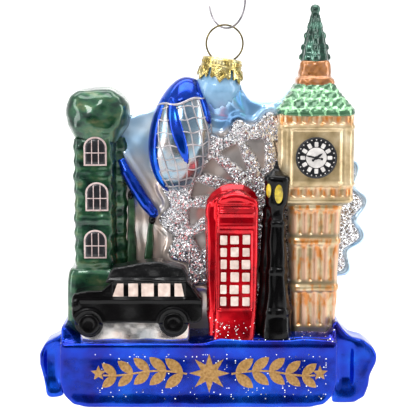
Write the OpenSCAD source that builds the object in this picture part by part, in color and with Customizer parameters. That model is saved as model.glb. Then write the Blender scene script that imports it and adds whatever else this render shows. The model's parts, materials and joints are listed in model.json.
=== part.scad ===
// Blown-glass skyline ornament with a stamped crown cap, a wire hanger and an S-hook.
// Millimetres, +Z up, the decorated side faces -Y.
// Origin: the inside of the hook's upper bend, where the hook sits on its branch.

/* [Base banner] */
// Height of the banner that everything stands on
base_h = 23; // [18:0.5:30]
// Depth of the banner, front to back
base_d = 38; // [34:0.5:50]
// Radius of the banner's lower corners, seen from the front
base_corner_r = 6; // [2:0.5:8]
// Radius of the banner's upright edges, seen from above
base_edge_r = 5; // [2:0.5:8]
// Length of the folded tail that shows past the left end
tail_left_l = 8.3; // [6:0.1:16]
// Length of the folded tail that shows past the right end
tail_right_l = 14.4; // [8:0.1:20]
// Depth of both folded tails
tail_d = 13; // [8:0.5:16]
// Width of the gold scroll ornament on the banner's face
scroll_w = 76; // [50:1:84]
// Height of the gold scroll ornament
scroll_h = 13; // [8:0.5:15]

/* [Glass] */
// Wall of the blown glass
wall = 1.0; // [0.8:0.1:1.4]
// Wall of the clock tower, an assumed value, set so that the whole hangs upright
tower_wall = 2.0; // [1.2:0.1:2.4]
// Wall of the bridge tower, an assumed value, set so that the whole hangs upright
bridge_wall = 0.8; // [0.6:0.1:1.4]
// Thickness of a printed decal or a pane of lacquer
decal_t = 0.3; // [0.2:0.05:0.5]

/* [Layout of the street] */
// Flat rim of the banner left in front of what stands on it
ledge = 1.5; // [1:0.1:2.5]
// Distance from the banner's left end to the taxi
taxi_inset = 4; // [3.5:0.1:8]
// Gap between the taxi and the phone box
taxi_gap = 1.1; // [0.6:0.1:4]
// Gap between the phone box and the foot of the lamp post
lamp_gap = 1.2; // [0.6:0.1:4]
// Distance from the lamp post's axis to the clock tower's axis
lamp_to_clock = 12.8; // [12:0.1:18]

/* [Taxi] */
// Length of the taxi
taxi_l = 42.4; // [34:0.2:52]
// Height of the taxi from the road to its roof
taxi_h = 19; // [16:0.5:22]
// Depth of the taxi
taxi_d = 8.5; // [7:0.5:9]
// Height of the mound of luggage on the taxi's roof
load_h = 6.2; // [4:0.2:7]
// Radius of the taxi's wheels
taxi_wheel_r = 3.5; // [3:0.1:4.2]

/* [Phone box] */
// Width of the phone box
box_w = 16.4; // [13.5:0.2:20]
// Height of the phone box from the banner to its crown
box_h = 50; // [42:0.5:60]
// Depth of the phone box
box_d = 11.5; // [9:0.5:11.5]
// Height of one window pane
pane_h = 3.1; // [2:0.1:3.4]

/* [Lamp post] */
// Height of the lamp post, foot to tip
lamp_h = 58; // [48:0.5:70]
// Radius of the lamp post's foot
lamp_foot_r = 5.3; // [4.5:0.1:5.3]
// Radius of the lantern
lantern_r = 4.4; // [3.5:0.1:5]

/* [Clock tower] */
// Height of the tower's shaft
shaft_h = 43.7; // [36:0.5:53]
// Width of the shaft at its foot
shaft_foot_w = 15; // [12.5:0.5:16]
// Width of the shaft under the clock
shaft_top_w = 17.8; // [16:0.2:20]
// Depth of the shaft
shaft_d = 21; // [18:0.5:23]
// Width of the clock storey
belfry_w = 25.6; // [22:0.2:30]
// Height of the clock storey
belfry_h = 30; // [25:0.5:36]
// Depth of the clock storey
belfry_d = 24; // [22:0.5:28]
// Height of the sloping roof over the clock
roof_h = 8.4; // [7:0.2:12]
// Height of the terracotta lantern storey
turret_h = 7.3; // [6:0.1:9]
// Width of the lantern storey
turret_w = 10.4; // [9:0.1:12]
// Height of the spire with its ball
spire_h = 18.6; // [15:0.2:24]
// Radius of the clock's black outer ring
dial_r = 6.7; // [5.4:0.1:8]

/* [Bridge tower] */
// Width of the bridge tower's shaft
bridge_w = 14.6; // [12:0.2:17]
// Depth of the bridge tower's shaft
bridge_d = 19; // [16:0.5:22]
// Height of the bridge tower's plinth
plinth_h = 21.5; // [18:0.5:26]
// Width of the plinth
plinth_w = 18; // [16:0.2:20]
// Height of the shaft between plinth and head
bridge_shaft_h = 42.5; // [34:0.5:50]
// Width of the bulging head
head_w = 21; // [19:0.2:24]
// Height of the head
head_h = 16.6; // [14:0.2:20]
// Width of an arched window
window_w = 7.3; // [6:0.1:8.4]
// Height of an arched window
window_h = 10; // [8:0.1:12]

/* [Sky, wheel and egg tower] */
// Thickness of the sky, the slab of silvered glass behind the buildings
sky_t = 8; // [6:0.5:10]
// Radius of the big wheel's rim
wheel_r = 33.5; // [28:0.5:40]
// Height of the wheel's axis over the banner
wheel_z = 39.7; // [36:0.1:48]
// Distance from the wheel's axis to the clock tower's axis
wheel_to_clock = 17.2; // [14:0.1:20]
// Relief of the wheel over the sky
wheel_t = 3; // [2:0.2:3.6]
// Largest radius of the egg-shaped tower
egg_r = 10.2; // [8.5:0.1:12]
// Length of the egg-shaped tower
egg_l = 38; // [32:0.5:44]

/* [Neck and cap] */
// Distance from the middle of the banner to the foot of the neck
neck_x = 7.8; // [5:0.1:10]
// Height of the neck's rim over the banner's underside
neck_z = 113; // [110:0.5:124]
// Lean of the neck towards the clock tower
neck_lean = 8; // [4:0.5:10]
// Radius of the hole down the neck
neck_bore_r = 4.85; // [4.6:0.05:5]
// Radius of the neck's rim
neck_rim_r = 5.8; // [5.6:0.05:6]
// Radius of the neck at the foot of the cap's leaves
neck_r = 7.15; // [7:0.05:7.4]
// Height of the cap
cap_h = 7.3; // [6:0.1:8]
// Sheet metal of the cap
cap_t = 0.35; // [0.3:0.05:0.5]
// Running clearance between the cap and the neck
cap_fit = 0.08; // [0.05:0.01:0.1]
// Number of stamped leaves round the cap
leaves = 6; // [5:1:8]

/* [Hanger and hook] */
// Thickness of the hanger's wire
wire_d = 0.62; // [0.5:0.01:0.8]
// Radius of the hanger's ring, to the middle of the wire
ring_r = 6.0; // [5.6:0.1:6.4]
// Height of the ring's centre over the cap's top
ring_z = 4.85; // [4.6:0.05:5.2]
// Distance that the ring can drop into the cap
ring_play = 1.1; // [0.6:0.1:1.2]
// Clearance round the hanger's legs in the cap's slots
slot_fit = 0.25; // [0.2:0.05:0.4]
// Thickness of the hook's wire
hook_wire_d = 0.7; // [0.6:0.05:1]
// Radius of the hook's lower bend
hook_low_r = 9; // [8:0.5:11]
// Radius of the hook's upper bend
hook_top_r = 10; // [8:0.5:13]
// Distance between the centres of the two bends
hook_l = 34; // [32:0.5:44]
// Angle between the hook's plane and straight ahead
hook_turn = 40; // [30:1:45]
// Gap between the hook and the ring's inside, which lets the ring swing
hook_gap = 0.35; // [0.3:0.05:0.5]

/* [Hidden] */
$fn = 48;
eps = 0.02;

// The street, from left to right. The banner is as long as what stands on it.
end_lap = 0.5;
bridge_inset = 11.3;
egg_to_wheel = 25.7;
row_front = -(base_d / 2 - ledge);
row_back = row_front + box_d;
base_w = taxi_inset + taxi_l + taxi_gap + box_w + lamp_gap + lamp_foot_r
    + lamp_to_clock + shaft_foot_w / 2 - end_lap;
base_left = -base_w / 2;
base_right = base_w / 2;
taxi_x = base_left + taxi_inset;
box_x = taxi_x + taxi_l + taxi_gap;
lamp_x = box_x + box_w + lamp_gap + lamp_foot_r;
clock_x = lamp_x + lamp_to_clock;
wheel_x = clock_x - wheel_to_clock;
bridge_x = base_left + bridge_inset;
bridge_y = 1;
plinth_shift = 1.3;
head_shift = 1.2;
sky_y = -2;
sky_back = sky_y + sky_t;
wheel_y = sky_y - wheel_t;
taxi_back = row_front + taxi_d;
plinth_front = taxi_back;
plinth_back = bridge_y + bridge_d / 2 + 1;

// Levels over the banner's underside
shaft_top = base_h + shaft_h;
belfry_top = shaft_top + belfry_h;
roof_top = belfry_top + roof_h;
turret_top = roof_top + turret_h;
plinth_top = base_h + plinth_h;
bridge_top = plinth_top + bridge_shaft_h;
head_top = bridge_top + head_h;
sky_top = base_h + 73;
sky_shoulder = min(belfry_top + 2.5, sky_top + 3.2);
egg_z = base_h + 65;
egg_x = wheel_x - egg_to_wheel;
egg_y = sky_y + sky_t / 2;
egg_lean = 9;
dial_z = shaft_top + belfry_h / 2;
dial_y = 0.6 - belfry_d / 2;

// The chain runs down from the tower's head, past the two posts under it.
chain_r = 1.35;
chain_knot_r = 1.7;
chain_start = [bridge_x + bridge_w / 2 + 2, sky_top - 15.6];
chain_end = chain_start + [9.6, -16.6];
chain_knot = chain_start + [3, -10.5];
post_x = bridge_x + bridge_w / 2 + 4.4;

// The neck leans, and the cap, ring and pivot lie on its axis.
cap_top = cap_fit + cap_t;
ring_axis = cap_top + ring_z;
pivot_up = ring_axis + ring_r - wire_d / 2 - hook_gap - hook_wire_d / 2;
pivot_x = neck_x + pivot_up * sin(neck_lean);
pivot_z = neck_z + pivot_up * cos(neck_lean);
seat_z = pivot_z + hook_low_r + hook_l + hook_top_r - hook_wire_d / 2;

// ---- helpers --------------------------------------------------------------

// Moves what is drawn over the banner's underside to hang from the hook
module hung() { translate([-pivot_x, 0, -seat_z]) children(); }

// Turns what is drawn along Z onto the neck's axis, with z = 0 at the rim
module on_neck() { hung() translate([neck_x, 0, neck_z]) rotate([0, neck_lean, 0]) children(); }

// Extrudes a front view (X, Z) from y0 back to y1
module front_view(y0, y1) {
    translate([0, y1, 0]) rotate([90, 0, 0]) linear_extrude(y1 - y0) children();
}

// Extrudes a side view (Y, Z) from x0 to x1
module side_view(x0, x1) {
    translate([x0, 0, 0]) rotate([90, 0, 90]) linear_extrude(x1 - x0) children();
}

// Rounds the outer corners of a flat outline
module rounded(r) { offset(r, $fn = 24) offset(delta = -r) children(); }

// A box named by its middle and its lowest level
module block(x, y, z, w, d, h) { translate([x - w / 2, y - d / 2, z]) cube([w, d, h]); }

// Four-sided tapering storey, w0 x d0 at its foot and w1 x d1 at its top
module taper(x, z0, z1, w0, w1, d0, d1) {
    intersection() {
        front_view(-30, 30) polygon([[x - w0 / 2, z0], [x + w0 / 2, z0], [x + w1 / 2, z1], [x - w1 / 2, z1]]);
        side_view(x - 40, x + 40) polygon([[-d0 / 2, z0], [d0 / 2, z0], [d1 / 2, z1], [-d1 / 2, z1]]);
    }
}

// An arched window outline standing on [0, 0]
module arch(w, h) {
    translate([-w / 2, 0]) square([w, h - w * 0.4]);
    translate([0, h - w * 0.4]) scale([1, 0.8]) circle(w / 2, $fn = 32);
}

// ---- cavities, shared by the pieces that they run through -------------------

module clock_cavity() {
    taper(clock_x, base_h - 2 * wall, shaft_top + wall, shaft_foot_w - 2 * tower_wall,
        shaft_top_w - 2 * tower_wall, shaft_d - 2 * tower_wall, shaft_d - 2 * tower_wall);
    block(clock_x, 0, shaft_top + tower_wall, belfry_w - 2 * tower_wall, belfry_d - 2 * tower_wall,
        belfry_h - 2 * tower_wall);
    block(clock_x, 0, belfry_top - 2 * tower_wall, turret_w - 2 * tower_wall, turret_w - 2 * tower_wall,
        roof_h + tower_wall);
}

module bridge_cavity() {
    t = bridge_wall;
    translate([bridge_x + plinth_shift - plinth_w / 2 + t, plinth_front + t, base_h - 2 * wall])
        cube([plinth_w - 2 * t, plinth_back - plinth_front - 2 * t, plinth_h + 2 * wall - t]);
    block(bridge_x, bridge_y, base_h, bridge_w - 2 * t, bridge_d - 2 * t, plinth_h + bridge_shaft_h + 2 * t);
    block(bridge_x + head_shift, bridge_y, bridge_top + t, head_w - 5, bridge_d - 2 * t, head_h - 4.4);
}

module box_cavity() {
    translate([box_x + wall, row_front + wall, base_h - 2 * wall])
        cube([box_w - 2 * wall, box_d - 2 * wall, box_h - 6]);
}

module taxi_cavity() {
    translate([taxi_x + taxi_wheel_r * 4, row_front + wall, base_h - 2 * wall])
        cube([taxi_l - taxi_wheel_r * 7, taxi_d - 2 * wall, taxi_h]);
}

module sky_outline() {
    left = bridge_x;
    right = clock_x - belfry_w / 2 + 0.4;
    polygon([[left, base_h], [clock_x, base_h], [clock_x, sky_shoulder - 3.5], [right, sky_shoulder - 3.5],
        [right, sky_shoulder], [right - 2, sky_shoulder], [neck_x + 13, sky_shoulder - 0.8],
        [neck_x + 8.5, sky_top + 7], [neck_x - 6, sky_top + 8], [egg_x, sky_top + 4], [left + 16, sky_top],
        [left, sky_top - 8]]);
}

module sky_cavity() {
    front_view(sky_y + wall, sky_back - wall) offset(delta = -wall)
        intersection() {
            union() { sky_outline(); translate([-200, base_h - 4 * wall]) square([400, 4 * wall + eps]); }
            translate([bridge_x + bridge_w / 2, 0]) square([clock_x - belfry_w / 2 - bridge_x - bridge_w / 2, 200]);
        }
}

// ---- outlines used by more than one piece -----------------------------------

module neck_profile(grow = 0) {
    polygon([[0, 0], [neck_rim_r + grow, 0], [neck_rim_r + grow, -2], [neck_r + grow, -cap_h],
        [neck_r + grow, -cap_h - 2], [neck_r * 0.62 + grow, -cap_h - 15], [0, -cap_h - 15]]);
}

module neck_envelope() {
    translate([neck_x, 0, neck_z]) rotate([0, neck_lean, 0]) rotate_extrude() neck_profile();
}

module egg_profile(r, l) {
    polygon([for (a = [-90:6:90]) [r * cos(a) * (1 - 0.12 * sin(a)), l / 2 * sin(a)]]);
}

module egg_solid(shrink = 0) {
    translate([egg_x, egg_y, egg_z]) rotate([0, egg_lean, 0])
        rotate_extrude() egg_profile(egg_r - shrink, egg_l - 2 * shrink);
}

module clock_envelope() {
    taper(clock_x, base_h, shaft_top, shaft_foot_w, shaft_top_w, shaft_d, shaft_d);
    block(clock_x, 0, shaft_top, belfry_w, belfry_d, belfry_h);
    taper(clock_x, belfry_top, roof_top, belfry_w - 1, turret_w + 2, belfry_d - 1, turret_w + 2);
}

module plinth_block() {
    translate([bridge_x + plinth_shift - plinth_w / 2, plinth_front, base_h])
        cube([plinth_w, plinth_back - plinth_front, plinth_h]);
}

module bridge_envelope() {
    plinth_block();
    block(bridge_x, bridge_y, plinth_top - eps, bridge_w, bridge_d, bridge_shaft_h + 2 * eps);
    bridge_head_solid();
}

module bridge_head_solid() {
    intersection() {
        front_view(-30, 30) translate([bridge_x + head_shift - head_w / 2, bridge_top]) rounded(3)
            polygon([[2.6, 0], [head_w - 4.4, 0], [head_w, 5], [head_w, head_h * 0.55], [head_w * 0.78, head_h * 0.9],
                [head_w * 0.5, head_h], [head_w * 0.2, head_h * 0.86], [0, head_h * 0.55], [0, 5]]);
        side_view(bridge_x - 40, bridge_x + 40) translate([bridge_y - bridge_d / 2 - 1, bridge_top]) rounded(3)
            square([bridge_d + 2, head_h]);
    }
}

// ---- hook, hanger and cap ----------------------------------------------------

// The hook lies in one plane: a lower bend that opens left, a slanting shank and an upper bend
module hook() {
    slant = asin((hook_low_r + hook_top_r) / hook_l);
    low_z = hook_low_r;
    top_z = low_z + hook_l;
    shank = sqrt(hook_l * hook_l - pow(hook_low_r + hook_top_r, 2));
    color("silver") translate([0, 0, pivot_z - seat_z]) rotate([0, 0, hook_turn - 90]) rotate([90, 0, 0]) {
        translate([0, low_z, 0]) rotate_extrude(angle = 170 + slant, start = 190)
            translate([hook_low_r, 0]) circle(d = hook_wire_d);
        translate([hook_low_r * cos(slant), low_z + hook_low_r * sin(slant), 0])
            rotate([-90, 0, slant]) cylinder(h = shank, d = hook_wire_d);
        translate([0, top_z, 0]) rotate_extrude(angle = 205 + slant, start = -25)
            translate([hook_top_r, 0]) circle(d = hook_wire_d);
    }
}

// The ring and its two legs are one wire; the legs splay inside the neck
module hanger_wire() {
    half_chord = sqrt(ring_r * ring_r - ring_z * ring_z);
    foot_x = neck_bore_r - wire_d / 2 - 0.12;
    leg_l = 13;
    lean = atan((foot_x - half_chord) / leg_l);
    opening = asin(half_chord / ring_r);
    color("darkgoldenrod") on_neck() translate([0, 0, cap_top]) {
        translate([0, 0, ring_z]) rotate([90, 0, 0])
            rotate_extrude(angle = 360 - 2 * opening, start = opening - 90)
                translate([ring_r, 0]) circle(d = wire_d);
        for (side = [-1, 1]) {
            translate([side * half_chord, 0, 0]) {
                sphere(d = wire_d * 1.25);
                rotate([0, 180 - side * lean, 0]) cylinder(h = leg_l / cos(lean), d = wire_d);
            }
        }
    }
}

module crown_cap() {
    inner = cap_fit;
    slot_in = sqrt(ring_r * ring_r - ring_z * ring_z) - wire_d / 2 - slot_fit;
    slot_out = sqrt(ring_r * ring_r - pow(ring_z - ring_play, 2)) + wire_d / 2 + slot_fit;
    color("goldenrod") on_neck() difference() {
        rotate_extrude() polygon([
            [0, inner], [neck_rim_r + inner, inner], [neck_rim_r + inner, -2], [neck_r + inner, -cap_h],
            [neck_r + inner + cap_t, -cap_h], [neck_r + inner + cap_t, -cap_h + 1.6],
            [neck_rim_r + inner + cap_t, -2], [neck_rim_r + inner + cap_t, cap_top], [0, cap_top]]);
        for (side = [-1, 1])
            translate([side * (slot_in + slot_out) / 2 - (slot_out - slot_in) / 2, -wire_d / 2 - slot_fit, -eps])
                cube([slot_out - slot_in, wire_d + 2 * slot_fit, cap_top + 1]);
        for (i = [0:leaves - 1])
            rotate([0, 0, (i + 0.5) * 360 / leaves]) translate([neck_r, 0, -cap_h - eps])
                rotate([90, 0, 90]) linear_extrude(4, center = true)
                    polygon([[-1.7, 0], [1.7, 0], [0.4, 2.6], [0, 3.6], [-0.4, 2.6]]);
    }
}

// ---- glass: neck, sky and banner --------------------------------------------

module neck() {
    color("lightsteelblue") on_neck() difference() {
        rotate_extrude() neck_profile();
        translate([0, 0, -cap_h - 8]) cylinder(r = neck_bore_r, h = cap_h + 9);
        translate([0, 0, -cap_h - 16]) cylinder(r1 = neck_r * 0.35, r2 = neck_bore_r, h = 8 + eps);
    }
}

module sky() {
    color("lightblue") hung() difference() {
        front_view(sky_y, sky_back) sky_outline();
        sky_cavity();
        bridge_envelope();
        clock_envelope();
        neck_envelope();
        egg_solid();
    }
}

// The sky and the wheel's edge that show past the clock tower's right side
module sky_right() {
    color("powderblue") hung() difference() {
        front_view(sky_y, sky_back) difference() {
            translate([wheel_x, base_h + wheel_z]) circle(wheel_r + 1.3);
            translate([clock_x - 100, 0]) square([100, 300]);
        }
        front_view(sky_y + wall, sky_back - wall) translate([wheel_x, base_h + wheel_z]) circle(wheel_r + 0.3);
        clock_envelope();
        translate([-200, -30, 0]) cube([400, 60, base_h]);
    }
}

// The silvered strip of road under the taxi, between its wheels
module road() {
    color("silver") hung() difference() {
        translate([taxi_x + 3, row_front + 1.5, base_h]) cube([taxi_l - 6, taxi_d - 1.5, taxi_wheel_r * 1.5]);
        taxi_cavity();
        wheel_discs();
    }
}

module banner_outline(grow = 0) {
    offset(delta = grow) hull() {
        for (x = [base_left + base_corner_r, base_right - base_corner_r])
            translate([x, base_corner_r]) circle(base_corner_r, $fn = 32);
        translate([base_left, base_h - 2]) square([base_w, 2]);
    }
}

module banner() {
    color("mediumblue") hung() difference() {
        intersection() {
            front_view(-base_d / 2, base_d / 2) banner_outline();
            linear_extrude(base_h) rounded(base_edge_r)
                translate([base_left, -base_d / 2]) square([base_w, base_d]);
        }
        intersection() {
            front_view(-base_d / 2 + wall, base_d / 2 - wall) banner_outline(-wall);
            linear_extrude(base_h) rounded(base_edge_r - wall)
                translate([base_left + wall, -base_d / 2 + wall]) square([base_w - 2 * wall, base_d - 2 * wall]);
        }
        clock_cavity();
        bridge_cavity();
        box_cavity();
        taxi_cavity();
        sky_cavity();
    }
}

module tail_outline(length) {
    rounded(1.6) polygon([[0, 2], [length * 0.55, 0.6], [length * 0.8, 1.6], [length * 0.84, 5], [length, 10.5],
        [length * 0.97, 14], [length * 0.72, 17.5], [length * 0.25, 19.4], [0, 21.5]]);
}

module banner_tail(side, length, lift) {
    color("royalblue") hung()
        translate([side * base_w / 2, 0, lift]) scale([side, 1, 1])
            front_view(-tail_d, 0) intersection() {
                translate([-3, 0]) tail_outline(length + 3);
                square([length + 3, 60]);
            }
}
module banner_tail_left() { banner_tail(-1, tail_left_l, 1.6); }
module banner_tail_right() { banner_tail(1, tail_right_l, 0); }

// A generic scroll of gold leaf: leaf sprays on both sides of a star
module banner_scroll() {
    mid = base_h * 0.46;
    color("peru") hung() front_view(-base_d / 2 - decal_t, -base_d / 2) {
        translate([0, mid]) circle(scroll_h * 0.36);
        for (side = [-1, 1], i = [0:5])
            translate([side * (scroll_h * 0.75 + i * (scroll_w - scroll_h * 1.9) / 11), mid])
                rotate(side * (i % 2 == 0 ? 18 : -18)) scale([1, 0.42 - 0.03 * i])
                    circle(scroll_h * 0.36, $fn = 32);
    }
}

// ---- glass: clock tower -------------------------------------------------------

module clock_shaft() {
    stage = shaft_h / 3;
    flute_w = shaft_foot_w / 6;
    color("navajowhite") hung() difference() {
        taper(clock_x, base_h, shaft_top, shaft_foot_w, shaft_top_w, shaft_d, shaft_d);
        clock_cavity();
        for (level = [0:2], i = [-1:1], side = [-1, 1])
            block(clock_x + i * flute_w * 1.6, side * shaft_d / 2, base_h + level * stage + 2, flute_w, 1,
                stage - 5.5);
    }
}

module clock_belfry() {
    panel = dial_r * 2 + 3.6;
    color("wheat") hung() difference() {
        block(clock_x, 0, shaft_top, belfry_w, belfry_d, belfry_h);
        clock_cavity();
        for (side = [-1, 1])
            block(clock_x, side * belfry_d / 2, dial_z - panel / 2, panel, 1.2, panel);
        for (side = [-1, 1], i = [-3:3])
            block(clock_x + i * 3.2, side * belfry_d / 2, belfry_top - 3.6, 1.7, 1, 2.4);
    }
}

module clock_roof() {
    color("darkseagreen") hung() difference() {
        taper(clock_x, belfry_top, roof_top, belfry_w - 1, turret_w + 2, belfry_d - 1, turret_w + 2);
        clock_cavity();
    }
}

module clock_turret() {
    foot = turret_w + 2;
    color("sienna") hung() difference() {
        intersection() {
            front_view(-10, 10) translate([clock_x, roof_top]) polygon([[-foot / 2, 0], [foot / 2, 0],
                [foot / 2, 1.2], [turret_w / 2 - 0.8, 2.4], [turret_w / 2 - 0.8, turret_h - 1.6],
                [turret_w / 2, turret_h], [-turret_w / 2, turret_h], [-turret_w / 2 + 0.8, turret_h - 1.6],
                [-turret_w / 2 + 0.8, 2.4], [-foot / 2, 1.2]]);
            block(clock_x, 0, roof_top, foot, foot, turret_h);
        }
        for (i = [-1:1], side = [-1, 1])
            block(clock_x + i * 2.6, side * foot / 2, roof_top + 2.4, 1.3, 4, turret_h - 4.2);
    }
}

module clock_spire() {
    r = turret_w / 2;
    color("darkgreen") hung() translate([clock_x, 0, turret_top]) rotate_extrude() polygon([
        [0, 0], [r * 0.92, 0], [r * 0.98, spire_h * 0.03], [r * 0.8, spire_h * 0.1], [r * 0.86, spire_h * 0.17],
        [r * 0.64, spire_h * 0.26], [r * 0.66, spire_h * 0.42], [r * 0.42, spire_h * 0.54],
        [r * 0.42, spire_h * 0.62], [r * 0.22, spire_h * 0.74], [r * 0.2, spire_h * 0.82],
        [r * 0.31, spire_h * 0.88], [r * 0.31, spire_h * 0.94], [r * 0.16, spire_h], [0, spire_h]]);
}

module on_dial(lift = 0) {
    hung() translate([clock_x, dial_y - lift, dial_z]) rotate([90, 0, 0]) children();
}

module clock_dial() { color("black") on_dial() cylinder(r = dial_r, h = decal_t); }

// Twelve plain hour marks round a pale centre
module clock_numerals() {
    color("ivory") on_dial(decal_t) {
        cylinder(r = dial_r * 0.5, h = decal_t);
        for (hour = [0:11])
            rotate(hour * 30) translate([-0.55, dial_r * 0.56, 0]) cube([1.1, dial_r * 0.2, decal_t]);
    }
}

module clock_hands() {
    color("dimgray") on_dial(2 * decal_t) linear_extrude(decal_t) {
        circle(0.7);
        rotate(-54) translate([-0.35, -1]) square([0.7, dial_r * 0.42]);
        rotate(78) translate([-0.25, -1.4]) square([0.5, dial_r * 0.62]);
    }
}

// ---- glass: phone box and lamp post -------------------------------------------

box_crown_h = 6;
box_mid = box_x + box_w / 2;

module phone_box() {
    pane_field = pane_h * 8.3;
    color("red") hung() difference() {
        translate([0, 0, base_h]) linear_extrude(box_h - box_crown_h) rounded(1.5)
            translate([box_x, row_front]) square([box_w, box_d]);
        box_cavity();
        block(box_mid, row_front, base_h + box_h - box_crown_h - 5.4, box_w - 3, 1, 1.8);
        block(box_mid, row_front, base_h + 10, box_w - 4.6, 1, pane_field);
    }
}

module phone_box_crown() {
    color("firebrick") hung() front_view(row_front, row_back)
        translate([box_mid, base_h + box_h - box_crown_h]) intersection() {
            translate([-box_w / 2, 0]) square([box_w, box_crown_h]);
            translate([0, box_crown_h - 14]) circle(14);
        }
}

module phone_box_panes() {
    pitch_x = (box_w - 4.6) / 3;
    pitch_z = pane_h * 8.3 / 6;
    color("mistyrose") hung()
        for (column = [-1:1], row = [0:5])
            block(box_mid + column * pitch_x, row_front + 0.5 - decal_t / 2,
                base_h + 10 + row * pitch_z + (pitch_z - pane_h) / 2, pitch_x - 1, decal_t, pane_h);
}

lamp_y = row_front + lamp_foot_r;
lantern_z = base_h + lamp_h - 13.5;

module lamp_post() {
    h = lamp_h;
    r = lantern_r;
    color("black") hung() difference() {
        translate([lamp_x, lamp_y, base_h]) rotate_extrude() polygon([
            [0, 0], [lamp_foot_r, 0], [lamp_foot_r, 2.5], [lamp_foot_r * 0.7, 6], [lamp_foot_r * 0.62, 10],
            [2.7, 13], [2.5, h - 18], [3.1, h - 16.5], [2.6, h - 15], [r * 0.7, h - 13.5], [r, h - 5],
            [r * 1.02, h - 4.2], [r * 0.5, h - 2.4], [0.8, h - 1.6], [0.5, h], [0, h]]);
        clock_envelope();
        lamp_pane_solids(0);
    }
}

module lamp_pane_solids(proud) {
    for (turn = [-45, 0])
        translate([lamp_x, lamp_y, lantern_z + 1.2]) rotate([0, 0, turn])
            translate([-1.5, -lantern_r - 0.2 - proud, 0]) cube([3, 1.6, 6]);
}

module lamp_panes() { color("gold") hung() intersection() {
    lamp_pane_solids(0);
    translate([lamp_x, lamp_y, lantern_z]) cylinder(r = lantern_r, h = 10);
} }

// ---- glass: taxi ---------------------------------------------------------------

module wheel_discs() {
    for (x = [taxi_x + taxi_wheel_r + 2, taxi_x + taxi_l * 0.775])
        translate([x, taxi_back, base_h + taxi_wheel_r]) rotate([90, 0, 0]) cylinder(r = taxi_wheel_r, h = taxi_d + 0.4);
}

module taxi_body() {
    sill = taxi_wheel_r * 1.5;
    belt = taxi_h * 0.64;
    color("black") hung() difference() {
        front_view(row_front, taxi_back) translate([taxi_x, base_h]) rounded(0.8) polygon([
            [0, sill - 1.5], [taxi_l - 2, sill - 1.5], [taxi_l - 2, belt], [taxi_l * 0.9, taxi_h - 0.6],
            [taxi_l * 0.87, taxi_h], [taxi_l * 0.31, taxi_h], [taxi_l * 0.23, belt + 0.8], [1, belt], [0, belt - 2]]);
        taxi_cavity();
        wheel_discs();
        translate([taxi_x + 3, row_front + 1.5, base_h]) cube([taxi_l - 6, taxi_d, sill]);
    }
}

module taxi_luggage() {
    color("dimgray") hung() front_view(row_front + 1, taxi_back)
        translate([taxi_x, base_h + taxi_h]) rounded(1) polygon([
            [taxi_l * 0.29, 0], [taxi_l * 0.86, 0], [taxi_l * 0.88, 1.5], [taxi_l * 0.78, load_h * 0.8],
            [taxi_l * 0.5, load_h], [taxi_l * 0.36, load_h * 0.75], [taxi_l * 0.28, 2]]);
}

module taxi_windows() {
    low = taxi_h * 0.69;
    high = taxi_h * 0.92;
    edges = [[0.31, 0.39, 0.025], [0.425, 0.5, 0], [0.525, 0.625, 0], [0.655, 0.745, 0], [0.78, 0.85, -0.02]];
    color("mistyrose") hung() front_view(row_front - decal_t, row_front) translate([taxi_x, base_h])
        for (e = edges)
            polygon([[taxi_l * e[0], low], [taxi_l * e[1], low],
                [taxi_l * (e[1] + min(e[2], 0)), high], [taxi_l * (e[0] + max(e[2], 0)), high]]);
}

module taxi_wheels() { color("black") hung() wheel_discs(); }

module taxi_bumper() {
    color("black") hung() front_view(row_front + 1.5, taxi_back) translate([taxi_x, base_h])
        translate([taxi_l - 2, taxi_wheel_r * 1.5 - 1.5]) square([2, taxi_h * 0.45]);
}

// ---- glass: bridge tower --------------------------------------------------------

module bridge_plinth() {
    color("darkolivegreen") hung() difference() {
        plinth_block();
        bridge_cavity();
    }
}

module bridge_shaft() {
    color("darkgreen") hung() difference() {
        block(bridge_x, bridge_y, plinth_top, bridge_w, bridge_d, bridge_shaft_h);
        bridge_cavity();
    }
}

module bridge_head() {
    color("darkgreen") hung() difference() {
        bridge_head_solid();
        bridge_cavity();
    }
}

// Three arched windows, one above the other on the tower's face
module bridge_windows() {
    pitch = (bridge_shaft_h - window_h * 0.35) / 2.65;
    face = bridge_y - bridge_d / 2;
    color("black") hung() front_view(face - decal_t, face)
        for (i = [0:2])
            translate([bridge_x - 0.4, plinth_top + 1.2 + i * pitch]) arch(window_w, window_h);
}

module chain_outline() {
    hull() { translate(chain_start) circle(chain_r); translate(chain_end) circle(chain_r); }
    translate(chain_knot) circle(chain_knot_r);
}

module posts_outline() {
    translate([post_x, base_h]) square([2.8, 44]);
    translate([post_x + 5.4, base_h]) square([3.4, 36]);
}

// The blue chain that runs down from the tower
module bridge_chain() {
    color("blue") hung() front_view(wheel_y, sky_y) chain_outline();
}

module bridge_posts() {
    color("darkgreen") hung() front_view(sky_y - 2.5, sky_y) difference() {
        posts_outline();
        chain_outline();
    }
}

// ---- glass: egg-shaped tower ----------------------------------------------------

egg_split = egg_l * 0.2;

module egg_shell() {
    difference() {
        egg_solid();
        egg_solid(wall);
        neck_envelope();
        translate([egg_x - egg_r - 5, egg_y - 2, egg_z - 12]) cube([2 * egg_r + 10, 4, 8]);
    }
}

module egg_half(upper) {
    translate([egg_x, egg_y, egg_z]) rotate([0, egg_lean, 0])
        translate([-30, -30, upper ? egg_split : egg_split - 80]) cube([60, 60, 80]);
}

module egg_tower() { color("lightsteelblue") hung() intersection() { egg_shell(); egg_half(false); } }
module egg_tower_cap() { color("royalblue") hung() intersection() { egg_shell(); egg_half(true); } }

// ---- glass: the big wheel -------------------------------------------------------

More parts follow.
